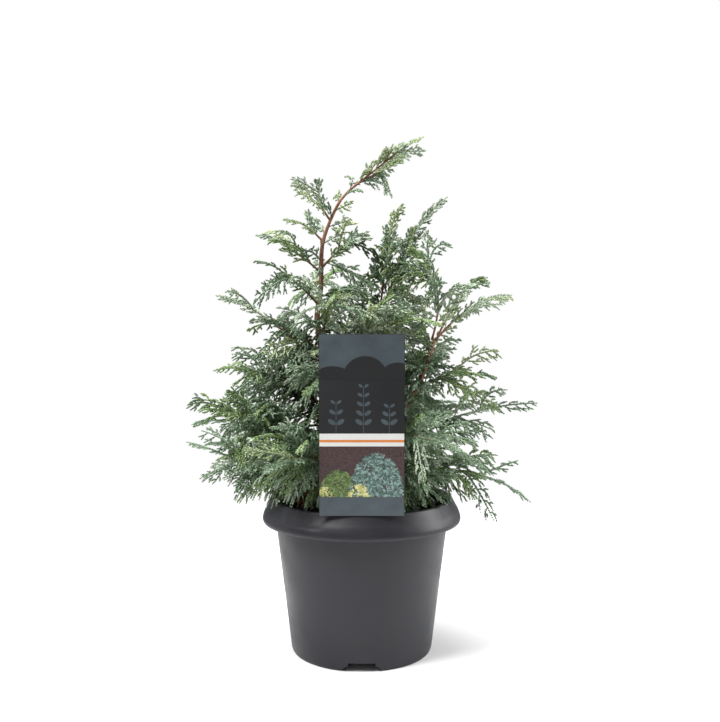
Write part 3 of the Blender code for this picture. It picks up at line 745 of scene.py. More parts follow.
def mottled(material, scale, amount):
    """Varies the material's colour by the shared group, and returns the group's node."""
    tree = material.node_tree
    shader = tree.nodes["Principled BSDF"]
    node = add_node(tree, "ShaderNodeGroup", node_tree=mottle_group())
    colour = shader.inputs["Base Color"].default_value
    set_inputs(node, Colour=colour, Scale=scale, Amount=amount)
    tree.links.new(node.outputs["Colour"], shader.inputs["Base Color"])
    return node


def bumped(material, scale, distance, detail, stretch=(1, 1, 1)):
    """Gives the material a fine relief from noise, which may be stretched."""
    tree = material.node_tree
    shader = tree.nodes["Principled BSDF"]
    place = add_node(tree, "ShaderNodeTexCoord")
    turn = set_inputs(add_node(tree, "ShaderNodeMapping"), Scale=stretch)
    cloud = set_inputs(add_node(tree, "ShaderNodeTexNoise"), Scale=scale, Detail=detail)
    bump = set_inputs(add_node(tree, "ShaderNodeBump"), Distance=distance)
    tree.links.new(place.outputs["Object"], turn.inputs["Vector"])
    tree.links.new(turn.outputs["Vector"], cloud.inputs["Vector"])
    tree.links.new(cloud.outputs["Fac"], bump.inputs["Height"])
    tree.links.new(bump.outputs["Normal"], shader.inputs["Normal"])
    return cloud


def vary_roughness(material, node, low, high):
    """Spreads the roughness between two values by the mottling's mask."""
    tree = material.node_tree
    rough = ranged(tree, node.outputs["Mask"], NOISE_RANGE, (low, high))
    tree.links.new(rough, tree.nodes["Principled BSDF"].inputs["Roughness"])


def plastic_material(colour):
    """Satin charcoal plastic, a little scuffed, with a fine moulded grain."""
    material = new_material("pot_plastic", colour, 0.42, Specular_IOR_Level=0.32)
    node = mottled(material, 42.0, 0.07)
    bumped(material, 2600.0, 0.00006, 2.0)
    vary_roughness(material, node, 0.36, 0.5)
    return material


def soil_material(name, colour):
    material = new_material(name, colour, 0.92)
    mottled(material, 420.0, 0.55)
    bumped(material, 900.0, 0.0006, 6.0)
    return material


def bark_material(colour):
    """Thin red-brown bark whose strips flake to a paler colour underneath."""
    material = new_material("bark", colour, 0.8)
    tree = material.node_tree
    node = mottled(material, 260.0, 0.35)
    strips = bumped(material, 520.0, 0.0005, 5.0, (1.0, 1.0, 0.22))
    pale = add_node(tree, "ShaderNodeMix", data_type="RGBA")
    pale.inputs["B"].default_value = (0.3, 0.165, 0.105, 1)
    tree.links.new(ranged(tree, strips.outputs["Fac"], (0.52, 0.66)), pale.inputs["Factor"])
    tree.links.new(node.outputs["Colour"], pale.inputs["A"])
    tree.links.new(pale.outputs["Result"], tree.nodes["Principled BSDF"].inputs["Base Color"])
    return material


def leaf_material(kind, colour):
    """Waxy scale leaves of one colour, with a bloom that comes and goes."""
    material = new_material(f"leaf_{kind}", colour, 0.52)
    vary_roughness(material, mottled(material, 330.0, 0.36), 0.42, 0.66)
    return material


def ink_material(name, colour, roughness, scale, amount):
    """Printer's ink on the card, mottled where an amount is given."""
    material = new_material(f"label_{name}", colour, roughness)
    if amount:
        mottled(material, scale, amount)
    return material


# The courses of the limbs and the sprays on them, as the model has them


def wall_radius(height):
    """The container's outer radius below the lip, carried on up inside it."""
    return FOOT_RADIUS + (SHOULDER_RADIUS - FOOT_RADIUS) * height / SHOULDER_HEIGHT


def tongue_middle():
    """Where the label's tongue runs down inside the wall, on the Y axis."""
    return -(wall_radius(TONGUE_FOOT) - WALL - TONGUE_CLEARANCE)


def label_front():
    """Where the card's face is, on the Y axis."""
    return -(RIM_RADIUS + LABEL_STAND_OFF + LABEL_THICKNESS)


def trunk_at(height):
    """The trunk's middle and radius at a height."""
    rows = np.array(TRUNK_COURSE)
    place = [np.interp(height, rows[:, 2], rows[:, axis]) for axis in (0, 1)]
    return np.array([*place, height]), float(np.interp(height, rows[:, 2], rows[:, 3]))


def course(root, tip, bow, share):
    """The point at a share of the way from root to tip, on a course that bows out."""
    lean = 4 * share * (1 - share)
    return root + (tip - root) * share + bow * lean


def foot_on(plan, share, ahead):
    """The place at a share of a course, and the direction of the course there."""
    foot = course(*plan, share)
    return foot, unit(course(*plan, share + ahead) - foot)


def rest_of_course(root, tip, bow, first, last=1):
    """The stretch of a course between two shares, as (start, run, bend)."""
    rest = last - first
    return (
        course(root, tip, bow, first),
        rest * (tip - root + 4 * bow * (1 - 2 * first)),
        -4 * bow * rest**2,
    )


def unit(vector):
    return vector / norm(vector)


def turned(first, second, angle):
    """The first unit vector turned towards the second, at right angles to it, by radians."""
    return first * cos(angle) + second * sin(angle)


def trunk_root(height, tip, bow, radius):
    """Where a limb that leaves the trunk at a height starts, just clear of the bark."""
    middle, _ = trunk_at(height)
    away = unit(course(middle, tip, bow, 0.05) - middle)
    if height >= TRUNK_COURSE[-1][2]:
        return middle + away * (GAP + 0.5 * radius)
    above, _ = trunk_at(height + 0.01)
    with_grain = abs(away @ unit(above - middle))
    clearance = 1.2 * GAP + 0.7 * radius * with_grain
    near = [trunk_at(h) for h in np.arange(height - 0.006, height + 0.036, 0.0006)]
    axis = np.array([place for place, _ in near])
    bark = np.array([thick for _, thick in near])
    for out in np.arange(0.001, 0.04, 0.0001):
        root = middle + away * out
        if (norm(axis - root, axis=1) - bark).min() > clearance:
            break
    return root


def tip_root(ends, tip, bow, crowded):
    """Where a mass's stem starts on its bough's tip, beside the others when it isn't alone."""
    end = ends[-1]
    onward = unit(ends[-1] - ends[-2])
    away = unit(course(end, tip, bow, 0.1) - end)
    sideways = away - onward * (away @ onward)
    tilt = norm(sideways)
    root = end + onward * (1.2 * GAP + 0.4 * STEM_RADIUS * tilt)
    return root + unit(sideways) * TIP_SPREAD if crowded else root


def plan_limbs():
    """The courses of all boughs, as (points, radius), and of all masses, as (root, tip, bow)."""
    boughs, masses = {}, {}
    carriers = [carrier for carrier, *_ in MASSES.values()]
    for name, (height, tip, bow, share) in BOUGHS.items():
        tip, bow = np.array(tip), np.array(bow, float)
        thick = bough_radius(height, tip)
        root = trunk_root(height, tip, bow, thick)
        ends = [course(root, tip, bow, share * step / BOUGH_STEPS) for step in range(BOUGH_STEPS + 1)]
        boughs[name] = (ends, thick)
        halfway = course(root, tip, bow, (1 + share) / 2)
        start = tip_root(ends, tip, halfway - (ends[-1] + tip) / 2, name in carriers)
        masses[name.replace("bough", "foliage")] = (start, tip, halfway - (start + tip) / 2)
    for name, (carrier, height, tip, bow) in MASSES.items():
        tip, bow = np.array(tip), np.array(bow, float)
        if carrier == "trunk":
            root = trunk_root(height, tip, bow, STEM_RADIUS)
        else:
            root = tip_root(boughs[carrier][0], tip, bow, True)
        masses[name] = (root, tip, bow)
    for ring, height, count, first, reach, tip_height, bow in RINGS:
        for index in range(count):
            bearing = first + 360 / count * index
            masses[f"{ring}_{index + 1}"] = ring_course(height, bearing, reach, tip_height, bow)
    return boughs, masses


def ring_course(height, bearing, reach, tip_height, bow):
    """The course of a ring's mass, held back where the label stands before it."""
    from_label = abs((bearing + 90 + 180) % 360 - 180)
    if from_label < LABEL_SECTOR and tip_height < LABEL_TOP:
        reach = min(reach, LABEL_REACH)
        tip_height += 0.01
    turn = radians(bearing)
    tip = np.array([reach * cos(turn), reach * sin(turn), tip_height])
    bow = np.array([0, 0, bow])
    return trunk_root(height, tip, bow, STEM_RADIUS), tip, bow


def bough_radius(height, tip):
    """The radius at the foot of a bough, by the length of all that it carries."""
    return 0.0016 + 0.007 * dist((0, 0, height), tip)


def bough_rows(ends, thick):
    """A bough's course as rows of x, y, z and radius, tapering to its tip."""
    return [(*end, thick * (1 - LIMB_TAPER * step / BOUGH_STEPS)) for step, end in enumerate(ends)]


class Space:
    """What keeps each mass to its own part of the crown, and off limbs, pot and label."""

    def __init__(self, boughs, masses):
        self.axes = {
            name: np.array([course(*plan, share) for share in np.linspace(0, 1, 25)])
            for name, plan in masses.items()
        }
        limbs = []
        for height in np.arange(SOIL_TOP, TRUNK_COURSE[-1][2], 0.002):
            middle, radius = trunk_at(height)
            limbs.append((*middle, radius))
        for ends, thick in boughs.values():
            for a, b in zip(ends, ends[1:]):
                for s in np.linspace(0, 1, 8):
                    limbs.append((*(a + (b - a) * s), thick))
        self.limbs = np.array(limbs)
        self.grown = {name: [] for name in masses}

    def nearest(self, points, axis):
        return norm(points[:, None] - axis[None], axis=2).min(axis=1)

    def touches(self, points, sprays, margin):
        return bool(sprays) and (self.nearest(points, np.concatenate(sprays)) < margin).any()

    def holds(self, name, points):
        """Whether a side twig's points keep to the mass's own space."""
        stems = np.concatenate([axis for key, axis in self.axes.items() if key != name])
        own = self.nearest(points, self.axes[name])
        away = self.nearest(points, stems)
        if (own > SPACE_SHARE * away).any() or (away < STEM_MARGIN).any():
            return False
        grown = [spray for key, sprays in self.grown.items() if key != name for spray in sprays]
        if self.touches(points, grown, SPRAY_MARGIN):
            return False
        clear = points[own > SISTER_REACH]
        if len(clear) and self.touches(clear, self.grown[name], SISTER_MARGIN):
            return False
        return self.open_points(points).all()

    def open_points(self, points, slack=0.0, limbs=True):
        """For each point, whether it is inside the crown and clear of limbs, pot, soil and label."""
        near_limb = np.zeros(len(points), bool)
        if limbs:
            for part in np.array_split(np.arange(len(points)), max(1, len(points) // 4000)):
                away = norm(points[part, None] - self.limbs[None, :, :3], axis=2)
                near_limb[part] = (away < self.limbs[:, 3] + LIMB_MARGIN).any(axis=1)
        x, y, height = points.T
        out = np.hypot(x, y)
        heights, reaches = np.array(CROWN_PROFILE).T
        across = np.hypot(x, y / CROWN_DEPTH)
        outside = across > np.interp(height, heights, reaches) + slack
        outside |= height > heights[-1] + slack
        in_soil = (out < wall_radius(0.13)) & (height < SOIL_TOP + SOIL_CROWN + 0.001)
        in_rim = (out > RIM_RADIUS - 0.008) & (out < LIP_RADIUS + 0.002)
        in_rim &= height < POT_HEIGHT + 0.0015
        before_label = (abs(x) < LABEL_WIDTH / 2 + 0.004) & (height < LABEL_TOP + 0.003)
        before_label &= y < label_front() + 0.0025
        at_hook = (abs(x) < TONGUE_WIDTH / 2 + 0.002) & (y < tongue_middle() + 0.003)
        at_hook &= height < POT_HEIGHT + 0.003
        return ~(near_limb | outside | in_soil | in_rim | before_label | at_hook)

    def off_label(self, shoots):
        """For each shoot, whether the leaves all along it stay behind or beside the label."""
        clear = np.ones(len(shoots), bool)
        for share in LABEL_SHARES:
            x, y, height = shoots.places(share).T
            beside = (abs(x) < LABEL_WIDTH / 2 + 0.003) & (height < LABEL_TOP + 0.003)
            clear &= ~(beside & (y < label_front() + LEAF_ROOM))
        return clear


def spray_outline(teeth, width):
    """A flat spray's points as (share along, share across): its rib pairs and its tooth tips."""
    ribs = [(0.12 + 0.74 * index / teeth, 0.24 * width) for index in range(teeth + 1)]
    ribs[0] = (ribs[0][0], 0.1 * width)
    tips = []
    for index in range(teeth):
        along = ribs[index][0]
        size = sin(pi * (0.27 + 0.58 * index / teeth))
        tips.append((along + 0.16 + 0.14 * size, width * size))
    return ribs, tips


def spray_samples(rib, side, length, teeth, width):
    """Points all over a spray, close enough together that nothing passes between them."""
    ribs, tips = spray_outline(teeth, width)

    def place(along, across):
        start, run, bend = rib
        return start + run * along + bend * along**2 + side * length * across

    end = place(1.0, 0.0)
    left, right = [place(a, c) for a, c in ribs], [place(a, -c) for a, c in ribs]
    left_tips = [place(a, c) for a, c in tips]
    right_tips = [place(a - 0.06, -c * 0.92) for a, c in tips]
    samples = [end, (end + left[-1]) / 2, (end + right[-1]) / 2]
    for tooth, edge in ((left_tips, left), (right_tips, right)):
        for tip, near, far in zip(tooth, edge, edge[1:]):
            samples += [tip + ((near + far) / 2 - tip) * share for share in (0, 0.25, 0.5, 0.75)]
            samples += [(near + tip) / 2, (far + tip) / 2, near, far]
    samples += [(a + b) / 2 for a, b in zip(left, right)]
    return np.array(samples)


def grow_mass(name, plan, space):
    """One mass's sprays, each as (rib, side, length, width), where a rib is (start, run, bend)."""
    rng = random.Random(f"{SEED} {name}")
    root, tip, bow = plan
    length = norm(tip - root)
    width = SLIM_SPRAY if tip[2] > SLIM_ABOVE else FULL_SPRAY
    stem_share = 1 - min(END_SPRAY_SHARE, END_SPRAY_LENGTH / length)
    sprays = [grow_end(rng, space, plan, stem_share - 0.05, 0.8 * width)]
    space.grown[name].append(spray_samples(*sprays[0][:3], SPRAY_TEETH, sprays[0][3]))
    twigs = max(2, round(length / TWIG_SPACING))
    for index in range(twigs):
        share = stem_share * (0.16 + 0.8 * index / max(twigs - 1, 1)) + rng.uniform(-0.02, 0.02)
        foot, along = foot_on(plan, share, 0.05)
        hand = 1 if index % 2 else -1
        longest = SIDE_SPRAY_FORWARD * length * (1 - share) + 0.006
        grown = grow_side(rng, space, name, (foot, along, hand), longest, width)
        if grown:
            sprays.append(grown[0])
            space.grown[name].append(grown[1])
    return sprays, stem_share


def grow_end(rng, space, plan, start, width):
    """The spray at the end of the stem, rolled and narrowed until it is clear of limbs and pot."""
    root, tip, bow = plan
    way = unit(tip - course(root, tip, bow, start))
    level = unit(np.cross(way, (0, 0, 1)))
    length = norm(tip - root) * (1 - start)
    rib = rest_of_course(root, tip, bow, start)
    for trial in range(TRIALS):
        roll = radians(rng.uniform(-END_ROLL, END_ROLL))
        side = turned(level, np.cross(way, level), roll)
        narrowed = width * TRIAL_SHRINK**trial
        if space.open_points(spray_samples(rib, side, length, SPRAY_TEETH, narrowed)).all():
            break
    return rib, side, length, narrowed


def grow_side(rng, space, name, branching, longest, width):
    """A side twig with its spray, tried smaller until it keeps to the mass's own space, or None."""
    foot, along, hand = branching
    flat = unit(np.cross(along, (0, 0, 1))) * hand
    for trial in range(TRIALS):
        turn = radians(SIDE_ANGLE + rng.uniform(-10, 10))
        roll = radians(rng.uniform(-SIDE_ROLL, SIDE_ROLL))
        heading = unit(turned(along, turned(flat, np.array([0, 0, 1]), roll), turn))
        reach = min(SIDE_SPRAY_LENGTH * rng.uniform(0.85, 1.1) * TRIAL_SHRINK**trial, longest)
        plane = flat_beside(heading, along)
        teeth = SPRAY_TEETH if reach > SHORT_SPRAY else SPRAY_TEETH - 1
        rib = (foot, heading * reach, np.array([0, 0, -SPRAY_DROOP * reach]))
        samples = spray_samples(rib, plane, reach, teeth, width)
        if space.holds(name, samples):
            return (rib, plane, reach, width), samples
    return None


# The shoots inside the sprays, and their leaves


class Shoots:
    """Many shoots as arrays: start, run and bend of each course, the way its spray lies flat,
    its length, thickness, colour kind, the part of the crown that it belongs to, and how far its
    side shoots are pressed forward, from 0 to 1."""

    FIELDS = ("start", "run", "bend", "flat", "length", "thick", "kind", "part", "press")

    def __init__(self, *arrays):
        for field, array in zip(self.FIELDS, arrays):
            setattr(self, field, np.asarray(array))

    def __len__(self):
        return len(self.length)

    def arrays(self):
        return [getattr(self, field) for field in self.FIELDS]

    def pick(self, chosen):
        return Shoots(*(array[chosen] for array in self.arrays()))

    def at(self, index, share):
        """Points and directions on the shoots of the given indices, at the given shares."""
        share = share[:, None]
        place = self.start[index] + self.run[index] * share + self.bend[index] * share**2
        way = self.run[index] + 2 * self.bend[index] * share
        return place, way / norm(way, axis=1)[:, None]

    def places(self, share):
        """The points at one share of all shoots."""
        return self.at(np.arange(len(self)), np.full(len(self), share))[0]


def join_shoots(*groups):
    """All the groups' shoots as one group."""
    return Shoots(*(np.concatenate(arrays) for arrays in zip(*(group.arrays() for group in groups))))


def across_of(way, flat):
    """The unit vectors across the given ways that lie in the flat of the spray."""
    across = flat - way * (flat * way).sum(axis=1)[:, None]
    return across / np.maximum(norm(across, axis=1), 1e-9)[:, None]


def arch(share, swell):
    """The height of a sine's arch at shares of the stretch of it that the swell names."""
    return np.sin(pi * (swell[0] + swell[1] * share))


def ranks(count):
    """For each of many children of parents that have the given counts: its parent and its rank."""
    index = np.repeat(np.arange(len(count)), count)
    return index, np.arange(len(index)) - np.repeat(np.cumsum(count) - count, count)


def branched(parents, index, places, sizes):
    """Shoots that leave their parents at the given shares, to a hand, at an angle and a tilt, with
    the given lengths, shares that they bend forward, droops and radius."""
    share, hand, angle, tilt = places
    reach, forward, droop, radius = sizes
    place, way = parents.at(index, share)
    across = across_of(way, parents.flat[index]) * hand[:, None]
    up = np.cross(way, across)
    heading = way * np.cos(angle)[:, None] + across * np.sin(angle)[:, None] + up * tilt[:, None]
    bend = (way - heading) * (forward * reach)[:, None]
    bend[:, 2] -= droop
    return Shoots(
        place, heading * reach[:, None], bend, np.cross(up, heading), reach,
        np.full(len(index), radius), parents.kind[index], parents.part[index], parents.press[index],
    )


def side_shoots(rng, ribs, widths, longest, spacing):
    """Side shoots on both sides of each rib, out to the outline of the spray.

    Where they are long they stand further apart, because they carry twiglets themselves.
    """
    steps = np.linspace(0, 1, 60)
    wide = ribs.length * widths * SHOOT_SHARE / sin(radians(SHOOT_ANGLE))
    wide = np.maximum(wide, np.minimum(LEAST_WIDTH, 0.45 * ribs.length))
    local = np.minimum(wide[:, None] * arch(steps, SHOOT_SWELL)[None], longest[:, None])
    gap = np.clip(SPACING_SHARE * local, spacing, WIDEST_SPACING)
    gap *= 1 - 0.35 * ribs.press[:, None]
    run = np.cumsum(ribs.length[:, None] * (RIB_TOP - RIB_FOOT) / len(steps) / gap, axis=1)
    count = np.maximum(3, np.round(run[:, -1])).astype(int)
    index, order = ranks(2 * count)
    rank = (order // 2 + 0.5 * (order % 2)) / count[index]
    step = np.empty(len(index))
    for number in range(len(ribs)):
        own = index == number
        step[own] = np.interp(rank[own] * run[number, -1], run[number], steps)
    hand = np.where(order % 2, 1.0, -1.0)
    share = RIB_FOOT + (RIB_TOP - RIB_FOOT) * step + rng.uniform(-RIB_JITTER, RIB_JITTER, len(index))
    press = ribs.press[index]
    size = arch(step, SHOOT_SWELL) * rng.uniform(*SHOOT_SIZES, len(index))
    spread = rng.uniform(-SHOOT_SPREAD, SHOOT_SPREAD, len(index)) * (1 - 0.6 * press)
    angle = np.radians(SHOOT_ANGLE - PRESSED * press + spread)
    reach = np.minimum(wide[index] * size, longest[index] * rng.uniform(*SHOOT_CAPS, len(index)))
    reach = np.maximum(reach, LEAST_SHOOT)
    tilt = rng.uniform(-SHOOT_TILT, SHOOT_TILT, len(index)) * (1 - 0.5 * press)
    droop = SHOOT_DROOP * (1 - 0.85 * press) * reach * rng.uniform(*SHOOT_DROOPS, len(index))
    sizes = (reach, SHOOT_FORWARD_BEND, droop, SHOOT_RADIUS)
    return branched(ribs, index, (share, hand, angle, tilt), sizes)


def twiglets(rng, shoots, spacing):
    """The last, short shoots, by turns on the two sides of each side shoot."""
    count = np.round(np.maximum(shoots.length - BARE_SHOOT, 0) / spacing).astype(int)
    index, order = ranks(count)
    step = (order + 0.6) / (count[index] + 0.8)
    hand = np.where((order + index) % 2, 1.0, -1.0)
    spread = rng.uniform(-TWIGLET_SPREAD, TWIGLET_SPREAD, len(index))
    angle = np.radians(TWIGLET_ANGLE - PRESSED * shoots.press[index] + spread)
    size = arch(step, TWIGLET_SWELL) * rng.uniform(*TWIGLET_SIZES, len(index))
    reach = np.minimum(TWIGLET_LENGTH, TWIGLET_SHARE * shoots.length[index]) * size
    reach = np.maximum(reach, LEAST_TWIGLET)
    tilt = rng.uniform(-TWIGLET_TILT, TWIGLET_TILT, len(index))
    sizes = (reach, TWIGLET_BEND, 0.0, TWIGLET_RADIUS)
    return branched(shoots, index, (0.16 + 0.74 * step, hand, angle, tilt), sizes)


def clothe(rng, shoots, spacing, leaf_length, leaf_width):
    """Pairs of keeled leaves all along the shoots, each pair at right angles to the one before.

    Gives the corner points, the triangles, and the colour kind and crown part of each triangle.
    """
    coarse = np.where(shoots.kind == LEAF_KINDS.index("deep"), COARSE_LEAF, 1.0)
    bare = 1 - LEAF_FOOT
    count = np.maximum(2, np.round(shoots.length * bare / (spacing * coarse))).astype(int)
    index, order = ranks(2 * count)
    pair = order // 2
    share = LEAF_FOOT + bare * (pair + 0.55) / count[index]
    place, way = shoots.at(index, share)
    across = across_of(way, shoots.flat[index])
    up = np.cross(way, across)
    level = pair % 2 == 0
    out = np.where(level[:, None], across, up) * np.where(order % 2, 1.0, -1.0)[:, None]
    spread = rng.uniform(-LEAF_SPREAD, LEAF_SPREAD, len(index))
    splay = np.radians(np.where(level, *LEAF_SPLAYS) + spread)
    splay *= 1 - 0.4 * np.clip((share - 0.8) / 0.2, 0, 1)
    near_tip = 1 - 0.35 * np.clip((share - 0.6) / 0.4, 0, 1)
    long = leaf_length * near_tip * rng.uniform(*LEAF_SIZES, len(index)) * coarse[index]
    broad = leaf_width * near_tip * coarse[index]
    heading = way * np.cos(splay)[:, None] + out * np.sin(splay)[:, None]
    face = out * np.cos(splay)[:, None] - way * np.sin(splay)[:, None]
    wide = np.cross(way, out)
    base = place + out * (0.6 * shoots.thick[index])[:, None]
    belly = base + heading * (0.4 * long)[:, None] - face * (0.22 * broad)[:, None]
    tip = base + heading * long[:, None] - face * (0.1 * long)[:, None]
    half = wide * (0.5 * broad)[:, None]
    keel = base + heading * (0.46 * long)[:, None] + face * (0.16 * broad)[:, None]
    places = np.stack([base, belly + half, tip, belly - half, keel], axis=1).reshape(-1, 3)
    corner = 5 * np.arange(len(index))[:, None]
    pattern = ((0, 1, 4), (1, 2, 4), (2, 3, 4), (3, 0, 4))
    faces = np.stack([corner + three for three in pattern], axis=1).reshape(-1, 3)
    return places, faces, np.repeat(shoots.kind[index], 4), np.repeat(shoots.part[index], 4)


def tube_faces(rows, sides):
    """The triangles between the rings of a tube."""
    faces = []
    for row in range(rows - 1):
        for side in range(sides):
            a, b = row * sides + side, row * sides + (side + 1) % sides
            faces += [(a, b, b + sides), (a, b + sides, a + sides)]
    return faces


def tubes(shoots, segments, sides, taper):
    """Tapering round shoots that end in a point, as points and triangles."""
    count = len(shoots)
    rings = []
    for step in range(segments):
        share = np.full(count, step / segments)
        place, way = shoots.at(np.arange(count), share)
        across = across_of(way, shoots.flat)
        up = np.cross(way, across)
        radius = shoots.thick * (1 - taper * step / segments)
        for side in range(sides):
            turn = 2 * pi * side / sides
            rings.append(place + turned(across, up, turn) * radius[:, None])
    per = segments * sides + 1
    places = np.stack([*rings, shoots.places(1.0)], axis=1).reshape(-1, 3)
    last = (segments - 1) * sides
    pattern = tube_faces(segments, sides)
    pattern += [(last + side, last + (side + 1) % sides, per - 1) for side in range(sides)]
    faces = (np.array(pattern)[None] + per * np.arange(count)[:, None, None]).reshape(-1, 3)
    return places, faces


def limb_tube(rows, sides, relief, seed):
    """A closed limb round a course of x, y, z and radius, with ridges that run along it."""
    points, radii = np.array(rows[:, :3]), rows[:, 3]
    ways = np.gradient(points, axis=0)
    ways /= norm(ways, axis=1)[:, None]
    across = np.cross(ways[0], (0.0, 1.0, 0.2))
    places = []
    run = 0.0
    for index, (point, way, radius) in enumerate(zip(points, ways, radii)):
        across = across - way * (across @ way)
        across /= norm(across)
        up = np.cross(way, across)
        if index:
            run += norm(point - points[index - 1])
        for side in range(sides):
            turn = 2 * pi * side / sides
            spot = Vector((2.1 * cos(turn) + seed, 2.1 * sin(turn), run * 130))
            ridge = relief * (noise.noise(spot) + 0.6 * noise.noise(spot * 2.7))
            places.append(point + turned(across, up, turn) * radius * (1 + ridge))
    faces = tube_faces(len(points), sides)
    for ring, turned_in in ((0, True), (len(points) - 1, False)):
        middle = len(places)
        places.append(points[ring])
        for side in range(sides):
            a, b = ring * sides + side, ring * sides + (side + 1) % sides
            faces.append((b, a, middle) if turned_in else (a, b, middle))
    return np.array(places), np.array(faces)


def stack_meshes(parts):
    """Joins (points, triangles) pairs into one pair."""
    places = np.concatenate([places for places, _ in parts])
    offsets = np.cumsum([0] + [len(places) for places, _ in parts[:-1]])
    return places, np.concatenate([faces + offset for (_, faces), offset in zip(parts, offsets)])


def part_of_mesh(places, faces):
    """Only the points that the given triangles use, and the triangles on them."""
    used, packed = np.unique(faces, return_inverse=True)
    return places[used], packed.reshape(-1, 3)


def core_width(height):
    """How far the crown's dense core reaches to the left and to the right at a height."""
    heights, left, right = np.array(DENSE_CORE).T
    return np.interp(height, heights, left), np.interp(height, heights, right)


def flat_beside(heading, along):
    """The way that a spray lies flat when it leaves its stem without a tilt."""
    return unit(np.cross(heading, np.cross(along, heading)))


class Fullness:
    """Cells of the crown's space, each marked once a spray passes through it."""

    def __init__(self):
        self.cells = np.zeros(GRID_CELLS, bool)

    def places(self, samples):
        at = np.floor((samples - np.array(GRID_START)) / CELL).astype(int)
        return tuple(np.clip(at, 0, np.array(GRID_CELLS) - 1).T)

    def share(self, samples):
        return self.cells[self.places(samples)].mean()

    def mark(self, samples):
        self.cells[self.places(samples)] = True

    def around(self, place):
        """The share of marked cells in the block of cells round a place."""
        block = (slice(max(int(at[0]) - 2, 0), int(at[0]) + 3) for at in self.places(place[None]))
        return self.cells[tuple(block)].mean()


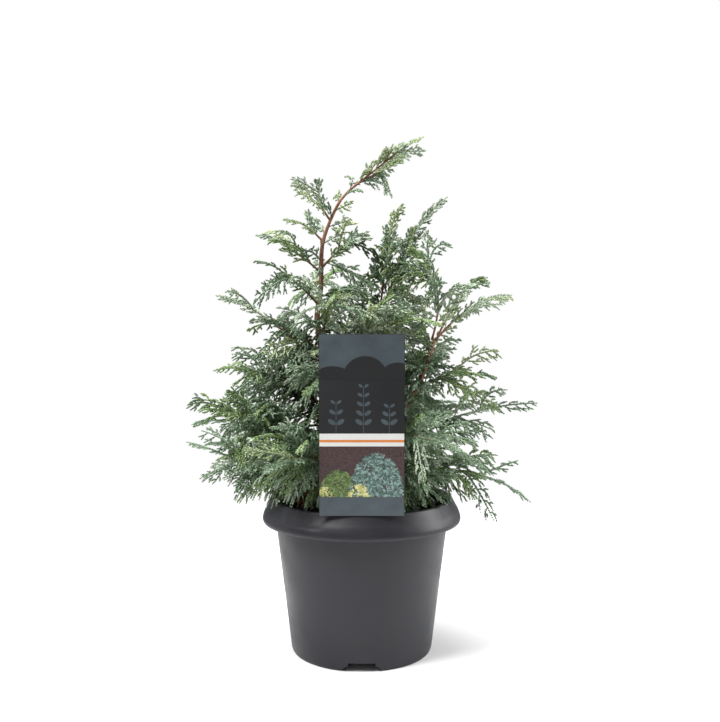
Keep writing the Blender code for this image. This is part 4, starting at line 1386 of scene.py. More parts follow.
class Crown:
    """The whole plant's plan, worked out once: limbs, stems and sprays."""

    made = None

    def __init__(self, fill_spacing, limb_spacing):
        self.boughs, self.masses = plan_limbs()
        self.space = Space(self.boughs, self.masses)
        self.sprays, self.stem_shares = {}, {}
        for name, plan in self.masses.items():
            self.sprays[name], self.stem_shares[name] = grow_mass(name, plan, self.space)
        self.fullness = Fullness()
        for sprays in self.space.grown.values():
            for samples in sprays:
                self.fullness.mark(samples)
        self.draw = random.Random(SEED).uniform
        for name in self.masses:
            if name not in PLUME_MASSES:
                self.fill_mass(name, fill_spacing)
        self.limb_sprays = []
        self.dress_limbs(limb_spacing)
        self.room_sprays = []
        self.fill_room()

    @classmethod
    def get(cls, settings):
        if cls.made is None:
            cls.made = cls(settings.fill_spacing, settings.limb_spacing)
        return cls.made

    def is_dense(self, place):
        """Whether a place is in the crown's dense core."""
        low, high = core_width(place[2])
        away = hypot(place[0] - (low + high) / 2, place[1] / CORE_DEPTH)
        return place[2] < DENSE_CORE[-1][0] and away < (high - low) / 2

    def flat_of(self, heading, along, tilt):
        """The way that a spray lies flat, tilted about its rib by degrees."""
        plane = flat_beside(heading, along)
        return turned(plane, np.cross(heading, plane), radians(tilt))

    def taken(self, foot, thick, rib, plane, reach, full):
        """The spray, marked as grown, where the crown has room for it, or None."""
        samples = spray_samples(rib, plane, reach, SPRAY_TEETH - 1, FILL_WIDTH)
        samples = samples[norm(samples - foot, axis=1) > thick + 0.35 * reach]
        if self.fullness.share(samples) < full and self.space.open_points(samples, 0.0, False).all():
            self.fullness.mark(samples)
            return rib, plane, reach, FILL_WIDTH
        return None

    def fill_mass(self, name, spacing):
        """Adds side sprays all round a mass's stem, where there is still room."""
        plan = self.masses[name]
        length = norm(plan[1] - plan[0])
        share = 0.08
        last = self.stem_shares[name] + 0.04
        while True:
            foot = course(*plan, share)
            step = spacing * (1 if self.is_dense(foot) else OPEN_SPACING) * self.draw(0.7, 1.3)
            share += step / length
            if share > last:
                return
            foot, along = foot_on(plan, share, 0.03)
            longest = min(FILL_LENGTH, 1.1 * length * (1 - share) + 0.016)
            angle = self.draw(*FILL_ANGLES)
            spray = self.added_spray(foot, along, STEM_RADIUS, longest, angle)
            if spray:
                self.sprays[name].append(spray)

    def added_spray(self, foot, along, thick, longest, angle, bearing=None, full=FULL_SHARE):
        """A spray in a free direction round the limb, shortened until there is room, or None."""
        level = np.cross(along, (0, 0, 1))
        level = unit(level) if norm(level) > 0.2 else unit(np.cross(along, (0, 1, 0)))
        up = np.cross(level, along)
        for trial in range(TRIALS):
            if bearing is None or trial:
                bearing = self.draw(-FILL_ROLL, FILL_ROLL)
            across = turned(level, up, radians(bearing))
            heading = unit(turned(along, across, radians(angle)))
            if heading[2] < STEEPEST_DROP:
                continue
            reach = longest * self.draw(0.75, 1.05) * TRIAL_SHRINK**trial
            plane = self.flat_of(heading, along, self.draw(-35, 35))
            sway = plane * self.draw(-0.1, 0.1)
            bend = reach * (sway - np.array([0, 0, SPRAY_DROOP * self.draw(0.5, 1.8)]))
            rib = (foot + across * 0.7 * thick, heading * reach, bend)
            spray = self.taken(foot, thick, rib, plane, reach, full)
            if spray:
                return spray
        return None

    def dress_limbs(self, spacing):
        """Side sprays on the trunk, by turns all round it, and on the boughs."""
        trunk = smooth_course(TRUNK_COURSE[2:], 400)
        self.dress_limb(trunk, spacing, TRUNK_SPRAY, True)
        for ends, thick in self.boughs.values():
            rows = smooth_course(bough_rows(ends, thick), 120)
            self.dress_limb(rows, 0.62 * spacing, BOUGH_SPRAY, False)

    def dress_limb(self, rows, spacing, longest, upright):
        run = travelled(rows[:, :3])
        at = 0.5 * spacing if upright else 0.12 * run[-1]
        index = 0
        while at < run[-1] - 0.002:
            row = at_distance(at, run, rows)
            along = unit(at_distance(at + 0.003, run, rows)[:3] - row[:3])
            is_open, is_top = row[2] > OPEN_ABOVE, row[2] > TOP_ABOVE
            reach = longest * (0.52 if is_open else 1.0) * (0.85 if is_top else 1.0)
            if not upright:
                bearing = 180 * (index % 2) + self.draw(-80, 80)
            elif is_open:
                bearing = 90 + 180 * (index % 2) + self.draw(-40, 55)
            else:
                bearing = GOLDEN_ANGLE * index
            angle = (34 if is_top else 46) + self.draw(-8, 8)
            spray = self.added_spray(row[:3], along, row[3], reach, angle, bearing, LIMB_FULL)
            if spray:
                self.limb_sprays.append(spray)
            index += 1
            at += spacing * (1.25 if is_open else 1.0) * self.draw(0.8, 1.2)

    def feet(self):
        """Places all along the stems and limbs, with their directions and radii."""
        rows = []
        for name, plan in self.masses.items():
            for share in np.arange(0.06, self.stem_shares[name], 0.05):
                foot, along = foot_on(plan, share, 0.03)
                rows.append((*foot, *along, STEM_RADIUS))
        limbs = list(self.boughs.values())
        limbs.append(([np.array(row[:3]) for row in TRUNK_COURSE[2:7]], TRUNK_COURSE[4][3]))
        for ends, thick in limbs:
            for first, last in zip(ends[:-1], ends[1:]):
                for share in (0.0, 0.25, 0.5, 0.75):
                    rows.append((*(first + (last - first) * share), *unit(last - first), thick))
        rows = np.array(rows)
        return rows[:, :3], rows[:, 3:6], rows[:, 6]

    def place_inside(self):
        """A place in the dense core, drawn at random."""
        height = self.draw(DENSE_CORE[0][0], DENSE_CORE[-1][0])
        if self.draw(0, 1) < FOOT_SHARE:
            height = self.draw(*FOOT_BAND)
        low, high = core_width(height)
        turn = self.draw(-pi, pi)
        out = (high - low) / 2 * sqrt(self.draw(0, 1))
        x, y = (low + high) / 2 + out * cos(turn), CORE_DEPTH * out * sin(turn)
        return np.array([x, y, height])

    def fill_room(self):
        """Sends sprays from the nearest stems into the empty places of the dense core."""
        feet, ways, thicks = self.feet()
        for _ in range(ROOM_TRIES):
            place = self.place_inside()
            if self.fullness.around(place) > ROOM_FULL:
                continue
            away = place - feet
            far = norm(away, axis=1)
            lean = (away * ways).sum(axis=1) / far
            fit = (far > 0.012) & (far < ROOM_REACH[1]) & (lean > 0.15) & (lean < 0.92)
            fit &= away[:, 2] / far > STEEPEST_DROP
            if not fit.any():
                continue
            index = int(np.argmin(np.where(fit, far, np.inf)))
            foot, thick, heading = feet[index], thicks[index], away[index] / far[index]
            reach = min(max(1.3 * far[index], ROOM_REACH[0]), ROOM_REACH[1])
            plane = self.flat_of(heading, ways[index], self.draw(-50, 50))
            bend = np.array([0, 0, -SPRAY_DROOP * self.draw(0.5, 1.5) * reach])
            rib = (foot + heading * 0.7 * thick, heading * reach, bend)
            spray = self.taken(foot, thick, rib, plane, reach, ROOM_SHARE)
            if spray:
                self.room_sprays.append(spray)


class CYPRESS_OT_pot(bpy.types.Operator):
    """Spin the container, cut its notches and sink the panel in its lip"""

    bl_idname = "cypress.pot"
    bl_label = "Container"

    def execute(self, context):
        settings = context.scene.cypress.pot
        outside = self.lip_outside()
        lip_inside = [(r - WALL, z - 0.4 * WALL) for r, z in reversed(outside[2:-2])]
        floor = FLOOR_UNDERSIDE + WALL
        top = wall_radius(POT_HEIGHT) - WALL
        profile = [
            (0.0, floor),
            (wall_radius(FLOOR_UNDERSIDE) - WALL - 0.0014, floor),
            (wall_radius(FLOOR_UNDERSIDE) - WALL, floor + 0.0014),
            (wall_radius(0.07) - WALL, 0.07),
            (top - 0.0002, POT_HEIGHT - 0.0012),
            (top + 0.0002, POT_HEIGHT - 0.0003),
            (top + 0.0008, POT_HEIGHT),
            (RIM_RADIUS - 0.0006, POT_HEIGHT),
            *outside,
            (LIP_RADIUS - 0.0009, LIP_BOTTOM),
            (LIP_RADIUS - WALL - 0.0002, LIP_BOTTOM + 0.0004),
            *lip_inside,
            (wall_radius(POT_HEIGHT - 2 * WALL), POT_HEIGHT - 2.4 * WALL),
            (SHOULDER_RADIUS + BODY_SWELL, SHOULDER_HEIGHT),
            (wall_radius(0.064) + BODY_SWELL, 0.064),
            (wall_radius(0.004) + BODY_SWELL, 0.004),
            (FOOT_RADIUS + 0.6 * BODY_SWELL, 0.0012),
            (FOOT_RADIUS, 0.0002),
            (FOOT_RADIUS - 0.0008, 0.0),
            (FOOT_RADIUS - 0.0024, 0.0),
            (FOOT_RADIUS - 0.0022, FLOOR_UNDERSIDE),
            (0.0, FLOOR_UNDERSIDE),
        ]
        pot = spin_profile(profile, settings.steps, "container")
        self.sink_panel(pot, settings.panel_depth)
        for index in range(NOTCH_COUNT):
            bearing = radians(-90 + 360 / NOTCH_COUNT * index)
            self.cut_notch(pot, bearing, settings.notch_width, settings.notch_height)
        smooth(pot, 32)
        paint(pot, plastic_material(settings.colour))
        finish_piece(pot, "pot_plastic", "pot")
        return {"FINISHED"}

    def lip_outside(self):
        """The lip's outer side from the rim down to its lower edge, as (radius, height) points."""
        drop = POT_HEIGHT - LIP_BOTTOM
        flare = LIP_RADIUS - RIM_RADIUS
        rows = smooth_course([(out, down, 0) for out, down in LIP_SIDE], 24)
        return [(RIM_RADIUS + flare * out, POT_HEIGHT - drop * down) for out, down, _ in rows]

    def sink_panel(self, pot, depth):
        """Presses the shallow panel with its rounded corners into the lip, left of the label."""
        low, high = LIP_BOTTOM + 0.008, POT_HEIGHT + 0.01
        for vert in pot.data.vertices:
            out = hypot(vert.co.x, vert.co.y)
            if out < RIM_RADIUS - 0.0005 or vert.co.z < LIP_BOTTOM + 0.001:
                continue
            bearing = degrees(atan2(vert.co.y, vert.co.x))
            across = abs(bearing - PANEL_BEARING) - PANEL_SPAN / 2
            along = max(radians(across) * out + PANEL_CORNER, 0)
            rise = abs(vert.co.z - (low + high) / 2) - (high - low) / 2
            inside = PANEL_CORNER - hypot(along, max(rise + PANEL_CORNER, 0))
            press = depth * min(max(inside / PANEL_EDGE + 0.5, 0), 1)
            vert.co.x *= 1 - press / out
            vert.co.y *= 1 - press / out

    def cut_notch(self, pot, bearing, width, height):
        """Cuts a drainage notch in the foot with a block that flares towards the ground."""
        deselect_all()
        bpy.ops.mesh.primitive_cube_add(size=1.0, enter_editmode=True)
        block = bpy.context.object
        bpy.ops.transform.resize(value=(width, 0.03, 0.5 * height))
        bpy.ops.transform.translate(value=(0, 0, 0.75 * height))
        select_parts(block, "FACE", lambda face: face.normal.z < -0.9)
        level, wide = 0.5 * height, width
        for share, flare in NOTCH_FLARE:
            drop = share * height - level
            bpy.ops.mesh.extrude_region_move(TRANSFORM_OT_translate={"value": (0, 0, drop - 1e-6)})
            bpy.ops.transform.resize(value=(flare * width / wide, 1, 1), center_override=(0, 0, 0))
            level, wide = share * height, flare * width
        bpy.ops.object.mode_set(mode="OBJECT")
        round_edges(block, NOTCH_ROUNDING, 3, 50)
        block.location = (FOOT_RADIUS * cos(bearing), FOOT_RADIUS * sin(bearing), 0)
        block.rotation_euler = (0, 0, bearing + pi / 2)
        settle(block, "notch")
        cut = pot.modifiers.new("Notch", "BOOLEAN")
        cut.operation = "DIFFERENCE"
        cut.solver = "EXACT"
        cut.object = block
        apply_modifiers(pot)
        bpy.data.objects.remove(block, do_unlink=True)


class CYPRESS_OT_soil(bpy.types.Operator):
    """Make the lumpy soil with its crumbs and bark chips"""

    bl_idname = "cypress.soil"
    bl_label = "Soil"

    def execute(self, context):
        settings = context.scene.cypress.soil
        floor = FLOOR_UNDERSIDE + WALL + GAP
        reach = wall_radius(SOIL_TOP) - WALL - GAP
        shares = np.linspace(0, 1, 30)
        profile = [
            *((reach * share, SOIL_TOP + SOIL_CROWN * (1 - share**2)) for share in shares),
            (wall_radius(floor + 0.003) - WALL - GAP - 0.0003, floor + 0.003),
            (wall_radius(floor) - WALL - GAP - 0.0026, floor),
            (0.0, floor),
        ]
        body = spin_profile(profile, 110, "soil_body")
        for vert in body.data.vertices:
            if vert.co.z > SOIL_TOP - 0.002:
                spot = vert.co * 70
                rise = noise.noise(spot) + 0.55 * noise.noise(spot * 2.3)
                rise += 0.35 * noise.noise(spot * 5.1)
                vert.co.z += settings.lump_height * (rise - 0.35)
        smooth(body, 60)
        dark = soil_material("soil_dark", settings.colour)
        chip = soil_material("soil_chip", settings.chip_colour)
        paint(body, dark)
        crumbs = self.scatter(settings, (dark, chip))
        soil = join([body, crumbs], "potting_soil")
        finish_piece(soil, "soil", "soil")
        return {"FINISHED"}

    def scatter(self, settings, materials):
        """Small knobbly crumbs and flat chips, lying on the surface at random."""
        rng = np.random.default_rng(SEED)
        base = bmesh.new()
        bmesh.ops.create_icosphere(base, subdivisions=1, radius=0.5)
        corners = np.array([vert.co for vert in base.verts])
        sides = np.array([[vert.index for vert in face.verts] for face in base.faces])
        base.free()
        reach = wall_radius(SOIL_TOP) - WALL - 0.004
        parts, kinds = [], []
        for _ in range(settings.crumb_count):
            out = reach * sqrt(rng.uniform(0.0, 1.0))
            turn = rng.uniform(0, 2 * pi)
            x, y = out * cos(turn), out * sin(turn)
            if abs(x) < TONGUE_WIDTH / 2 + 0.003 and y < tongue_middle() + 0.004:
                continue
            size = settings.crumb_size * rng.uniform(0.25, 1.0) ** 1.6
            shape = corners * rng.uniform(0.75, 1.25, (len(corners), 1))
            chip = rng.uniform() < CHIP_SHARE
            scale = (1.0, rng.uniform(0.4, 0.7), 0.22) if chip else (1.0, rng.uniform(0.6, 1.0), 0.6)
            spin = Matrix.Rotation(rng.uniform(0, 6.3), 3, "Z")
            spin = spin @ Matrix.Rotation(rng.uniform(-0.5, 0.5), 3, "X")
            shape = (shape * scale * size) @ np.array(spin).T
            height = SOIL_TOP + SOIL_CROWN * (1 - (out / reach) ** 2) - 0.0004 + 0.15 * size
            parts.append((shape + (x, y, height), sides))
            kinds += [int(chip)] * len(sides)
        return mesh_from_arrays("crumbs", *stack_meshes(parts), materials, kinds)


class CYPRESS_OT_label(bpy.types.Operator):
    """Make the plain picture label with its hooked tongue"""

    bl_idname = "cypress.label"
    bl_label = "Label"

    def execute(self, context):
        settings = context.scene.cypress.label
        inks = {}
        for name, (scale, amount) in CARD_INKS.items():
            colour = getattr(settings, f"{name}_colour")
            inks[name] = ink_material(name, colour, 0.34, scale, amount)
        for name, (colour, scale, amount) in LABEL_INKS.items():
            inks[name] = ink_material(name, colour, 0.36, scale, amount)
        body = self.card_body()
        paint(body, inks["card"])
        prints = []
        for low, high, layer, ink in LABEL_BANDS:
            prints.append(self.print_shape(self.block(-0.5, 0.5, low, high), layer, inks[ink]))
        for *place, layer in LABEL_HILLS:
            prints.append(self.print_shape(self.dome(*place), layer, inks["card"]))
        for place in LABEL_SPRIGS:
            prints += self.sprig(*place, inks["slate"])
        prints.append(self.clumps([inks[tone] for tone in CLUMP_TONES]))
        label = join([body, *prints], "label_card")
        finish_piece(label, "label_card", "label")
        return {"FINISHED"}

    def card_body(self):
        """The stiff card, and the strip that bends back over the rim and down into the soil."""
        middle = label_front() + LABEL_THICKNESS / 2
        height = LABEL_TOP - LABEL_BOTTOM
        over = POT_HEIGHT + GAP
        card = self.slab("card", (LABEL_WIDTH, LABEL_THICKNESS, height), middle, LABEL_BOTTOM + height / 2)
        select_parts(card, "EDGE", self.runs_through)
        bpy.ops.mesh.bevel(offset=LABEL_CORNER, segments=4)
        bpy.ops.object.mode_set(mode="OBJECT")
        size = (TONGUE_WIDTH, LABEL_THICKNESS, LABEL_THICKNESS)
        tongue = self.slab("tongue", size, middle, over + LABEL_THICKNESS / 2)
        inside = tongue_middle()
        self.push_faces(tongue, lambda face: face.normal.y > 0.9, (0, inside - middle, 0))
        self.push_faces(
            tongue,
            lambda face: face.normal.z < -0.9 and face.calc_center_median().y > inside - 0.0005,
            (0, 0, TONGUE_FOOT - over),
        )
        for item in (card, tongue):
            round_edges(item, 0.00015, 2, 30)
            smooth(item, 40)
        return join([card, tongue], "card")

    def slab(self, name, size, y, z):
        deselect_all()
        bpy.ops.mesh.primitive_cube_add(size=1.0, location=(0, y, z))
        item = bpy.context.object
        item.scale = size
        settle(item, name)
        return item

    def runs_through(self, edge):
        """Whether an edge runs through the card from its face to its back."""
        a, b = (vert.co for vert in edge.verts)
        return abs(a.y - b.y) > 0.5 * LABEL_THICKNESS

    def push_faces(self, item, wanted, move):
        """Extrudes the wanted faces."""
        select_parts(item, "FACE", wanted)
        bpy.ops.mesh.extrude_region_move(TRANSFORM_OT_translate={"value": move})
        bpy.ops.object.mode_set(mode="OBJECT")

    def block(self, left, right, low, high):
        """A plain area of the card as shares of its width and height."""
        return [(left, low), (right, low), (right, high), (left, high)]

    def dome(self, x, low, half, height):
        """A low round mound as shares of the card's width and height."""
        turns = np.linspace(0, pi, 25)
        return [(x + half * cos(turn), low + height * sin(turn)) for turn in turns]

    def sprig(self, x, low, high, material):
        """A slender stem with pairs of oval leaves."""
        stem = self.block(x - 0.004, x + 0.004, low, high)
        shapes = [self.print_shape(stem, 0, material)]
        pairs = round((high - low) / 0.052)
        for pair in range(pairs):
            height = low + 0.05 + (high - low - 0.05) * pair / max(pairs - 1, 1)
            size = 0.105 * (1 - 0.55 * pair / pairs)
            for hand in (-1, 1):
                leaf = []
                for turn in np.linspace(0, 2 * pi, 16, endpoint=False):
                    along = size * (0.5 + 0.5 * cos(turn))
                    across = 0.26 * size * sin(turn)
                    out = 0.01 + 0.8 * along - 0.55 * across
                    leaf.append((x + hand * out, height + (0.55 * along + 0.8 * across) * 0.47))
                shapes.append(self.print_shape(leaf, 0, material))
        return shapes

    def print_shape(self, outline, layer, material):
        """A printed area: a very thin plate on the face of the card."""
        height = LABEL_TOP - LABEL_BOTTOM
        front = label_front() - layer * PRINT_RELIEF - PRINT_THICKNESS
        half = LABEL_WIDTH / 2 - PRINT_INSET
        shape = bmesh.new()
        verts = []
        for x, z in outline:
            across = min(max(x * LABEL_WIDTH, -half), half)
            rise = min(max(z * height, PRINT_INSET), height - PRINT_INSET)
            verts.append(shape.verts.new((across, front, LABEL_BOTTOM + rise)))
        face = shape.faces.new(verts)
        grown = bmesh.ops.extrude_face_region(shape, geom=[face])
        moved = [part for part in grown["geom"] if isinstance(part, bmesh.types.BMVert)]
        bmesh.ops.translate(shape, verts=moved, vec=(0, 4 * PRINT_THICKNESS, 0))
        bmesh.ops.remove_doubles(shape, verts=shape.verts, dist=0.000001)
        bmesh.ops.recalc_face_normals(shape, faces=shape.faces)
        mesh = bpy.data.meshes.new("print")
        shape.to_mesh(mesh)
        shape.free()
        item = bpy.data.objects.new("print", mesh)
        bpy.context.scene.collection.objects.link(item)
        mesh.materials.append(material)
        return item

    def clumps(self, tones):
        """Printed bushes of many small leaves, each a flat lozenge of one of its clump's tones."""
        rng = np.random.default_rng(SEED)
        height = LABEL_TOP - LABEL_BOTTOM
        low, rows, kinds = 0.105, [], []
        for x, half, tall, tone, count in LABEL_CLUMPS:
            for _ in range(count):
                turn, out = rng.uniform(0, pi), sqrt(rng.uniform(0, 1))
                rows.append((x + half * out * cos(turn), low + tall * out * sin(turn)))
                draw = rng.uniform()
                kinds.append(3 if draw < 0.09 else tone + 4 if draw < 0.38 else tone)
        middle = np.array(rows) * (LABEL_WIDTH, height) + (0, LABEL_BOTTOM)
        count = len(middle)
        turn = rng.uniform(0, 2 * pi, count)
        long, wide = rng.uniform(0.0013, 0.0024, count), rng.uniform(0.0005, 0.0009, count)
        ahead = np.column_stack([np.cos(turn), np.sin(turn)]) * long[:, None]
        side = np.column_stack([-np.sin(turn), np.cos(turn)]) * wide[:, None]
        flat = np.stack([middle + ahead, middle + side, middle - ahead, middle - side], axis=1)
        inside = LABEL_WIDTH / 2 - PRINT_INSET
        flat[:, :, 0] = np.clip(flat[:, :, 0], -inside, inside)
        flat[:, :, 1] = np.maximum(flat[:, :, 1], LABEL_BOTTOM + low * height + 0.0001)
        depth = label_front() - PRINT_RELIEF - PRINT_THICKNESS - 0.00006 * rng.uniform(0, 1, count)
        places = np.stack([flat[:, :, 0], np.repeat(depth[:, None], 4, axis=1), flat[:, :, 1]], axis=2)
        corner = 4 * np.arange(count)[:, None]
        faces = np.stack([corner + (0, 3, 2), corner + (0, 2, 1)], axis=1).reshape(-1, 3)
        return mesh_from_arrays("clumps", places.reshape(-1, 3), faces, tones, np.repeat(kinds, 2))


class CYPRESS_OT_limbs(bpy.types.Operator):
    """Make the trunk and the boughs with the relief of their bark"""

    bl_idname = "cypress.limbs"
    bl_label = "Trunk and boughs"

    def execute(self, context):
        settings = context.scene.cypress.limbs
        crown = Crown.get(context.scene.cypress.foliage)
        bark = bark_material(settings.colour)
        rows = [(*TRUNK_COURSE[0][:2], SOIL_TOP - 0.003, ROOT_FLARE), *TRUNK_COURSE]
        rows = smooth_course(rows, int(TRUNK_LENGTH / settings.ring_spacing))
        self.limbs("trunk_bark", [limb_tube(rows, 18, settings.ridge_depth, 0.0)], bark, "trunk")
        parts = []
        for index, (name, (ends, thick)) in enumerate(crown.boughs.items()):
            foot, _ = trunk_at(BOUGHS[name][0] - 0.001)
            rings = max(8, int(norm(ends[-1] - foot) / settings.ring_spacing))
            rows = smooth_course([(*foot, 1.35 * thick), *bough_rows(ends, thick)], rings)
            parts.append(limb_tube(rows, 10, settings.ridge_depth, 7.3 * index))
        self.limbs("bough_bark", parts, bark, *crown.boughs)
        return {"FINISHED"}

    def limbs(self, name, parts, bark, *nodes):
        limbs = mesh_from_arrays(name, *stack_meshes(parts), (bark,), round_shading=True)
        finish_piece(limbs, "bark", *nodes)


def trunk_beside(place):
    """The trunk's middle at the height of a place in the crown."""
    return trunk_at(min(max(place[2], 0.14), 0.48))[0]


def lined_up(rib, plan, share):
    """The rib turned part of the way into line with its mass's stem."""
    start, run, bend = rib
    ahead = unit(plan[1] - plan[0])
    length = norm(run)
    return start, length * unit((1 - share) * run / length + share * ahead), (1 - share) * bend


def rolled(way, angle):
    """A unit vector across the way, turned from the level by the given angle."""
    level = np.cross(way, (0, 0, 1))
    level = unit(level) if norm(level) > 0.1 else np.array([1.0, 0, 0])
    return turned(level, np.cross(way, level), radians(angle))


class Ribs:
    """Gathers the ribs of all sprays and clothed stems, each with its width, its longest side
    shoot and a colour that is drawn for it."""

    def __init__(self, crown, rng):
        self.crown, self.draw = crown, rng.uniform
        self.rows, self.widths, self.longest = [], [], []
        self.limb_part = len(crown.masses)
        for part, (name, sprays) in enumerate(crown.sprays.items()):
            for number, spray in enumerate(sprays):
                self.add_spray(spray, part, name, number == 0)
        for spray in crown.limb_sprays:
            self.add_spray(spray, self.limb_part)
        bands = zip((0.0, *ROOM_SPLITS), (*ROOM_SPLITS, 1.0))
        for part, (low, high) in enumerate(bands, self.limb_part + 1):
            for spray in crown.room_sprays:
                if low <= spray[0][0][2] < high:
                    self.add_spray(spray, part)
        self.add_stems()
        self.add_boughs()
        self.add_plumes()

    def add(self, spray, longest, thick, part, press, kind=None):
        """Adds one rib, in the colour of the given name or a drawn one."""
        (start, run, bend), side, length, width = spray
        kind = LEAF_KINDS.index(kind or self.drawn_kind(start, start + run + bend))
        self.rows.append((start, run, bend, side, length, thick, kind, part, press))
        self.widths.append(width)
        self.longest.append(longest)

    def add_spray(self, spray, part, name=None, is_end=False):
        """Adds a spray's rib, and where a stem's end spray is steep a second one across it."""
        rib, side, length, width = spray
        tip = rib[0] + rib[1] + rib[2]
        press = max(PLUME_MASSES.get(name, 0.0), END_PRESS if is_end else 0.0)
        longest = OUTER_LONG_SHOOT if self.draw() < LONG_SHARE * (1 - press) else OUTER_SHOOT
        if self.crown.is_dense(tip):
            longest = INNER_SHOOT
        elif tip[2] > HIGH_FROM:
            longest = HIGH_SHOOT
        if name in PLUME_MASSES:
            rib = lined_up(rib, self.crown.masses[name], PLUME_TURN * press)
        way = unit(rib[1])
        rib = self.arched(rib, side, length * (1 - press))
        self.add((rib, side, length, width), longest, RIB_RADIUS, part, press)
        if is_end and abs(way[2]) > STEEP:
            second = (rib, np.cross(way, side), length, 0.8 * width)
            self.add(second, longest, RIB_RADIUS, part, press)

    def add_stems(self):
        """Adds the clothed stretch of each mass's stem."""
        for part, (name, plan) in enumerate(self.crown.masses.items()):
            rib = rest_of_course(*plan, CLOTHED_FROM, self.crown.stem_shares[name])
            way = unit(rib[1])
            length = norm(rib[1] + rib[2])
            longest = PLUME_STEM_SHOOT if name in PLUME_MASSES else STEM_SHOOT
            press = max(PLUME_MASSES.get(name, 0.0), 0.2)
            for side in self.sides(way, STEEP_ROLLS if way[2] > STEEP else STEM_ROLLS):
                self.add((rib, side, length, 0.5), longest, 0.8 * STEM_RADIUS, part, press)

    def add_boughs(self):
        """Adds the stretches of the boughs beyond their feet."""
        for ends, thick in self.crown.boughs.values():
            for first, last in zip(ends[1:-1], ends[2:]):
                run = last - first
                for side in self.sides(unit(run), BOUGH_ROLLS):
                    spray = ((first, run, np.zeros(3)), side, norm(run), 2.0)
                    self.add(spray, STEM_SHOOT, 0.8 * thick, self.limb_part, 0.1)

    def add_plumes(self):
        """Adds sprays that lie close along the tips of the leaders."""
        for spray in self.plume(smooth_course(TRUNK_COURSE[-3:], 200)[40:, :3], 1.0):
            kind = "fresh" if spray[0][0][2] > FRESH_TIP else "silver"
            self.add(spray, OUTER_SHOOT, RIB_RADIUS, self.limb_part, 0.8, kind)
        for name, low in SIDE_PLUMES.items():
            shares = np.linspace(low, self.crown.stem_shares[name], 60)
            stem = np.array([course(*self.crown.masses[name], share) for share in shares])
            for spray in self.plume(stem, 0.8):
                self.add(spray, OUTER_SHOOT, RIB_RADIUS, self.limb_part, 0.7)

    def sides(self, way, rolls):
        """The ways that a stem's side shoots lie flat, one drawn in each range of degrees."""
        return [rolled(way, self.draw(*span)) for span in rolls]

    def plume(self, rows, scale):
        """Forward-pressed sprays all round a leader's tip, by turns left and right."""
        run = travelled(rows)
        sprays = []
        for index, at in enumerate(np.arange(0.002, run[-1], PLUME_SPACING)):
            place = at_distance(at, run, rows)
            if at + 0.002 < run[-1]:
                way = unit(at_distance(at + 0.002, run, rows) - place)
            level = unit(np.cross(way, (0, 1, 0)))
            roll = radians(180 * (index % 2) + self.draw(-55, 55))
            across = turned(level, np.cross(way, level), roll)
            angle = radians(PLUME_ANGLE + self.draw(-6, 6))
            heading = turned(way, across, angle)
            full = 0.52 + 0.48 * sin(pi * min(at / run[-1], 0.9))
            reach = scale * PLUME_SPRAY * self.draw(0.75, 1.0) * full
            rib = (place + across * RIB_RADIUS, heading * reach, (way - heading) * 0.25 * reach)
            sprays.append((rib, flat_beside(heading, way), reach, PLUME_WIDTH))
        return sprays

    def arched(self, rib, side, length):
        """The rib with its middle raised and its end drooping and swayed, the end near its old place."""
        start, run, bend = rib
        rise = np.array([0, 0, ARCH * length * self.draw(0.2, 1.2)])
        sway = side * SWAY * length * self.draw(-1, 1)
        end = start + run
        out = unit((end - trunk_beside(end)) * (1, 1, 0))
        steep = max(0.0, unit(run)[2] - 0.42)
        lean = steep * length * (LEAN_OUT * out - np.array([0, 0, LEAN_DOWN]))
        run, bend = run + rise + sway, bend - 1.2 * rise - 1.1 * sway + lean
        low = (start + run + bend)[2]
        if low < LOWEST_TIP < start[2] - 0.004:
            short = max(0.5, (start[2] - LOWEST_TIP) / (start[2] - low))
            run, bend = short * run, short * bend
        return start, run, bend

    def drawn_kind(self, start, end):
        """The colour that a spray is dealt: deep, a painted shade, inside and in the shaded hollow, and
        lighter towards the leaders' tips.
        """
        out = hypot(*(end - trunk_beside(end))[:2])
        draw = self.draw()
        if out < RUST_REACH and end[2] < RUST_BELOW and start[0] < 0.02 and draw < RUST_SHARE:
            return "rust"
        # Painted shade: dark sprays near the trunk, reaching further from it lower down
        if out < SHADE_REACH * min(1.0, max(0.0, (SHADE_BELOW - end[2]) / SHADE_FADE)):
            return "deep" if draw < SHADE_SHARE else "green"
        # Painted shade in the hollow between the leaders
        across, high, wide, tall = SHADED
        off = ((end[0] - across) / wide) ** 2 + ((end[2] - high) / tall) ** 2
        if off < 1 and draw < SHADED_SHARES[1]:
            return "deep" if draw < SHADED_SHARES[0] else "green"
        total = 0.0
        for kind, share in next(shares for above, shares in COLOUR_SHARES if end[2] > above):
            total += share
            if draw < total:
                return kind
        return "blue"

    def gathered(self):
        """The ribs that stay off the label, with their widths and their longest side shoots."""
        ribs = self.cut_back(Shoots(*(np.array(field) for field in zip(*self.rows))))
        clear = self.crown.space.off_label(ribs)
        return ribs.pick(clear), np.array(self.widths)[clear], np.array(self.longest)[clear]

    def cut_back(self, ribs):
        """Ends each rib where it would leave the crown or run over the pot or the label."""
        reach = np.full(len(ribs), RIB_SHARES[0])
        for near, far in zip(RIB_SHARES, RIB_SHARES[1:]):
            clear = self.crown.space.open_points(ribs.places(far), EDGE_SLACK, False)
            reach = np.where(clear & (reach == near), far, reach)
        ribs.run = ribs.run * reach[:, None]
        ribs.bend = ribs.bend * reach[:, None] ** 2
        ribs.length = ribs.length * reach
        return ribs


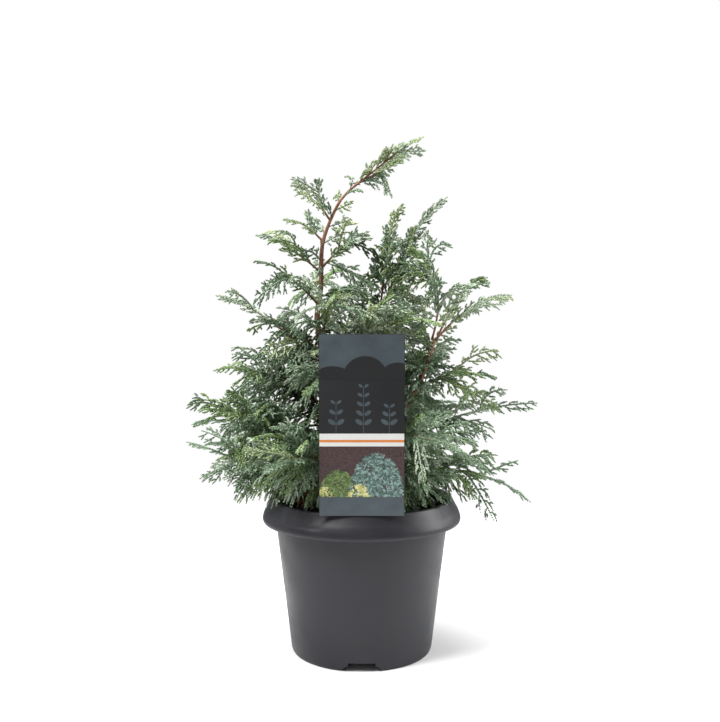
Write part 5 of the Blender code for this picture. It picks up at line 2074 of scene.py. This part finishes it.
class CYPRESS_OT_foliage(bpy.types.Operator):
    """Grow the stems, shoots and leaves of every mass"""

    bl_idname = "cypress.foliage"
    bl_label = "Foliage"

    def execute(self, context):
        settings = context.scene.cypress.foliage
        crown = Crown.get(settings)
        rng = np.random.default_rng(SEED)
        ribs, widths, longest = Ribs(crown, rng).gathered()
        shoots = side_shoots(rng, ribs, widths, longest, settings.shoot_spacing)
        shoots = self.clear_ones(crown, shoots)
        small = self.clear_ones(crown, twiglets(rng, shoots, settings.twiglet_spacing))
        self.leaves(rng, crown, settings, join_shoots(ribs, shoots, small))
        self.twigs(crown, ribs, shoots, settings.young_stem)
        return {"FINISHED"}

    def clear_ones(self, crown, shoots):
        """The shoots that keep inside the crown and off the limbs, pot, soil and label."""
        good = crown.space.off_label(shoots)
        for share in (0.5, 1.0):
            good &= crown.space.open_points(shoots.places(share), EDGE_SLACK)
        return shoots.pick(good)

    def leaves(self, rng, crown, settings, shoots):
        """Clothes the shoots in leaves, and joins the leaves by the parts that they grow on."""
        places, faces, kinds, parts = clothe(
            rng, shoots, settings.leaf_spacing, settings.leaf_length, settings.leaf_width
        )
        materials = [leaf_material(kind, getattr(settings, kind)) for kind in LEAF_KINDS]
        names = list(crown.masses)
        pieces = [self.piece_of(name) for name in names] + list(ADDED_PIECES)
        for piece in (*LEAF_PIECES, *ADDED_PIECES):
            members = [part for part, home in enumerate(pieces) if home == piece]
            chosen = np.isin(parts, members)
            item = mesh_from_arrays(
                f"leaves_{piece}", *part_of_mesh(places, faces[chosen]), materials, kinds[chosen]
            )
            finish_piece(item, "foliage", *(names[part] for part in members if part < len(names)))

    def piece_of(self, name):
        """The piece that a mass's leaves are joined in."""
        short = name.replace("foliage_", "")
        return next(piece for piece, pattern in LEAF_PATTERNS if re.match(pattern, short))

    def twigs(self, crown, ribs, shoots, colour):
        """The woody stems, and the thin green cores that carry the leaves."""
        green = new_material("young_stem", colour, 0.6)
        mottled(green, 300.0, 0.3)
        stems = []
        for name, plan in crown.masses.items():
            rows = [
                (*course(*plan, crown.stem_shares[name] * s), STEM_RADIUS * (1 - LIMB_TAPER * s))
                for s in np.linspace(-0.03, 1, 16)
            ]
            stems.append(limb_tube(np.array(rows), 6, 0.1, plan[0][0] * 90))
        woody = stack_meshes(stems)
        seen = shoots.pick((shoots.kind != LEAF_KINDS.index("deep")) & (shoots.length > CORE_SHOOT))
        cores = stack_meshes([tubes(ribs, 5, 4, 0.75), tubes(seen, 2, 3, 0.5)])
        places, faces = stack_meshes([woody, cores])
        kinds = np.repeat([0, 1], [len(woody[1]), len(cores[1])])
        materials = (bpy.data.materials["bark"], green)
        half = len(faces) // 2 + 1
        for index, part in enumerate((slice(0, half), slice(half, None))):
            mesh = part_of_mesh(places, faces[part])
            item = mesh_from_arrays(f"twigs_{index + 1}", *mesh, materials, kinds[part], True)
            finish_piece(item, "bark")


class CYPRESS_OT_stage(bpy.types.Operator):
    """Set up the camera, the pale floor and the soft light"""

    bl_idname = "cypress.stage"
    bl_label = "Stage"

    def execute(self, context):
        settings = context.scene.cypress.stage
        deselect_all()
        turn = (pi / 2 - settings.camera_pitch, 0, 0)
        bpy.ops.object.camera_add(location=settings.camera_place, rotation=turn)
        camera = bpy.context.object
        camera.name = "camera"
        camera.data.lens = settings.camera_lens
        camera.data.sensor_width = 36
        camera.data.clip_start = 0.01
        camera.data.dof.use_dof = False
        context.scene.camera = camera
        context.scene.view_settings.view_transform = "Standard"
        self.floor(settings)
        self.surround(context, settings)
        for light in LIGHTS:
            self.light(*light)
        return {"FINISHED"}

    def floor(self, settings):
        """A wide pale floor that fades into the surround."""
        deselect_all()
        bpy.ops.mesh.primitive_circle_add(vertices=96, radius=FLOOR_RADIUS, fill_type="NGON")
        floor = bpy.context.object
        floor.name = "floor"
        material = new_material("floor", settings.floor_colour, 0.9)
        mottled(material, 3.0, 0.01)
        tree = material.node_tree
        place = add_node(tree, "ShaderNodeTexCoord")
        far = add_node(tree, "ShaderNodeVectorMath", operation="LENGTH")
        tree.links.new(place.outputs["Object"], far.inputs[0])
        fade = ranged(tree, far.outputs["Value"], FLOOR_FADE, (1.0, 0.0))
        tree.links.new(fade, tree.nodes["Principled BSDF"].inputs["Alpha"])
        paint(floor, material)

    def surround(self, context, settings):
        """A white surround that lights the plant less than it shows."""
        world = bpy.data.worlds.new("surround")
        world.use_nodes = True
        tree = world.node_tree
        light = tree.nodes["Background"]
        set_inputs(light, Color=(1, 1, 1, 1), Strength=settings.surround)
        backdrop = add_node(tree, "ShaderNodeBackground")
        set_inputs(backdrop, Color=(1, 1, 1, 1), Strength=1.0)
        seen = add_node(tree, "ShaderNodeLightPath")
        choice = add_node(tree, "ShaderNodeMixShader")
        tree.links.new(seen.outputs["Is Camera Ray"], choice.inputs["Fac"])
        tree.links.new(light.outputs["Background"], choice.inputs[1])
        tree.links.new(backdrop.outputs["Background"], choice.inputs[2])
        tree.links.new(choice.outputs["Shader"], tree.nodes["World Output"].inputs["Surface"])
        context.scene.world = world

    def light(self, name, place, power, size):
        """A soft square panel of light that looks at the plant."""
        deselect_all()
        bpy.ops.object.light_add(type="AREA", location=place)
        light = bpy.context.object
        light.name = name
        light.data.energy = power
        light.data.size = size
        aim = Vector(LIGHT_AIM) - Vector(place)
        light.rotation_euler = aim.to_track_quat("-Z", "Y").to_euler()


class CYPRESS_PT_panel(bpy.types.Panel):
    """Lists the pieces of the potted plant"""

    bl_label = "Potted cypress"
    bl_idname = "CYPRESS_PT_panel"
    bl_space_type = "VIEW_3D"
    bl_region_type = "UI"
    bl_category = "Cypress"

    def draw(self, context):
        for operator in OPERATORS:
            self.layout.operator(operator.bl_idname)


OPERATORS = (
    CYPRESS_OT_pot, CYPRESS_OT_soil, CYPRESS_OT_label, CYPRESS_OT_limbs, CYPRESS_OT_foliage,
    CYPRESS_OT_stage,
)
CLASSES = (
    PotSettings, SoilSettings, LabelSettings, LimbSettings, FoliageSettings, StageSettings,
    CypressSettings, *OPERATORS, CYPRESS_PT_panel,
)


def register():
    for kind in CLASSES:
        bpy.utils.register_class(kind)
    bpy.types.Scene.cypress = bpy.props.PointerProperty(type=CypressSettings)


def unregister():
    del bpy.types.Scene.cypress
    for kind in reversed(CLASSES):
        bpy.utils.unregister_class(kind)


def main():
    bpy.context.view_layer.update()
    register()
    bpy.ops.cypress.pot()
    bpy.ops.cypress.soil()
    bpy.ops.cypress.label()
    bpy.ops.cypress.limbs()
    bpy.ops.cypress.foliage()
    bpy.ops.cypress.stage()
    deselect_all()


if __name__ == "__main__":
    main()
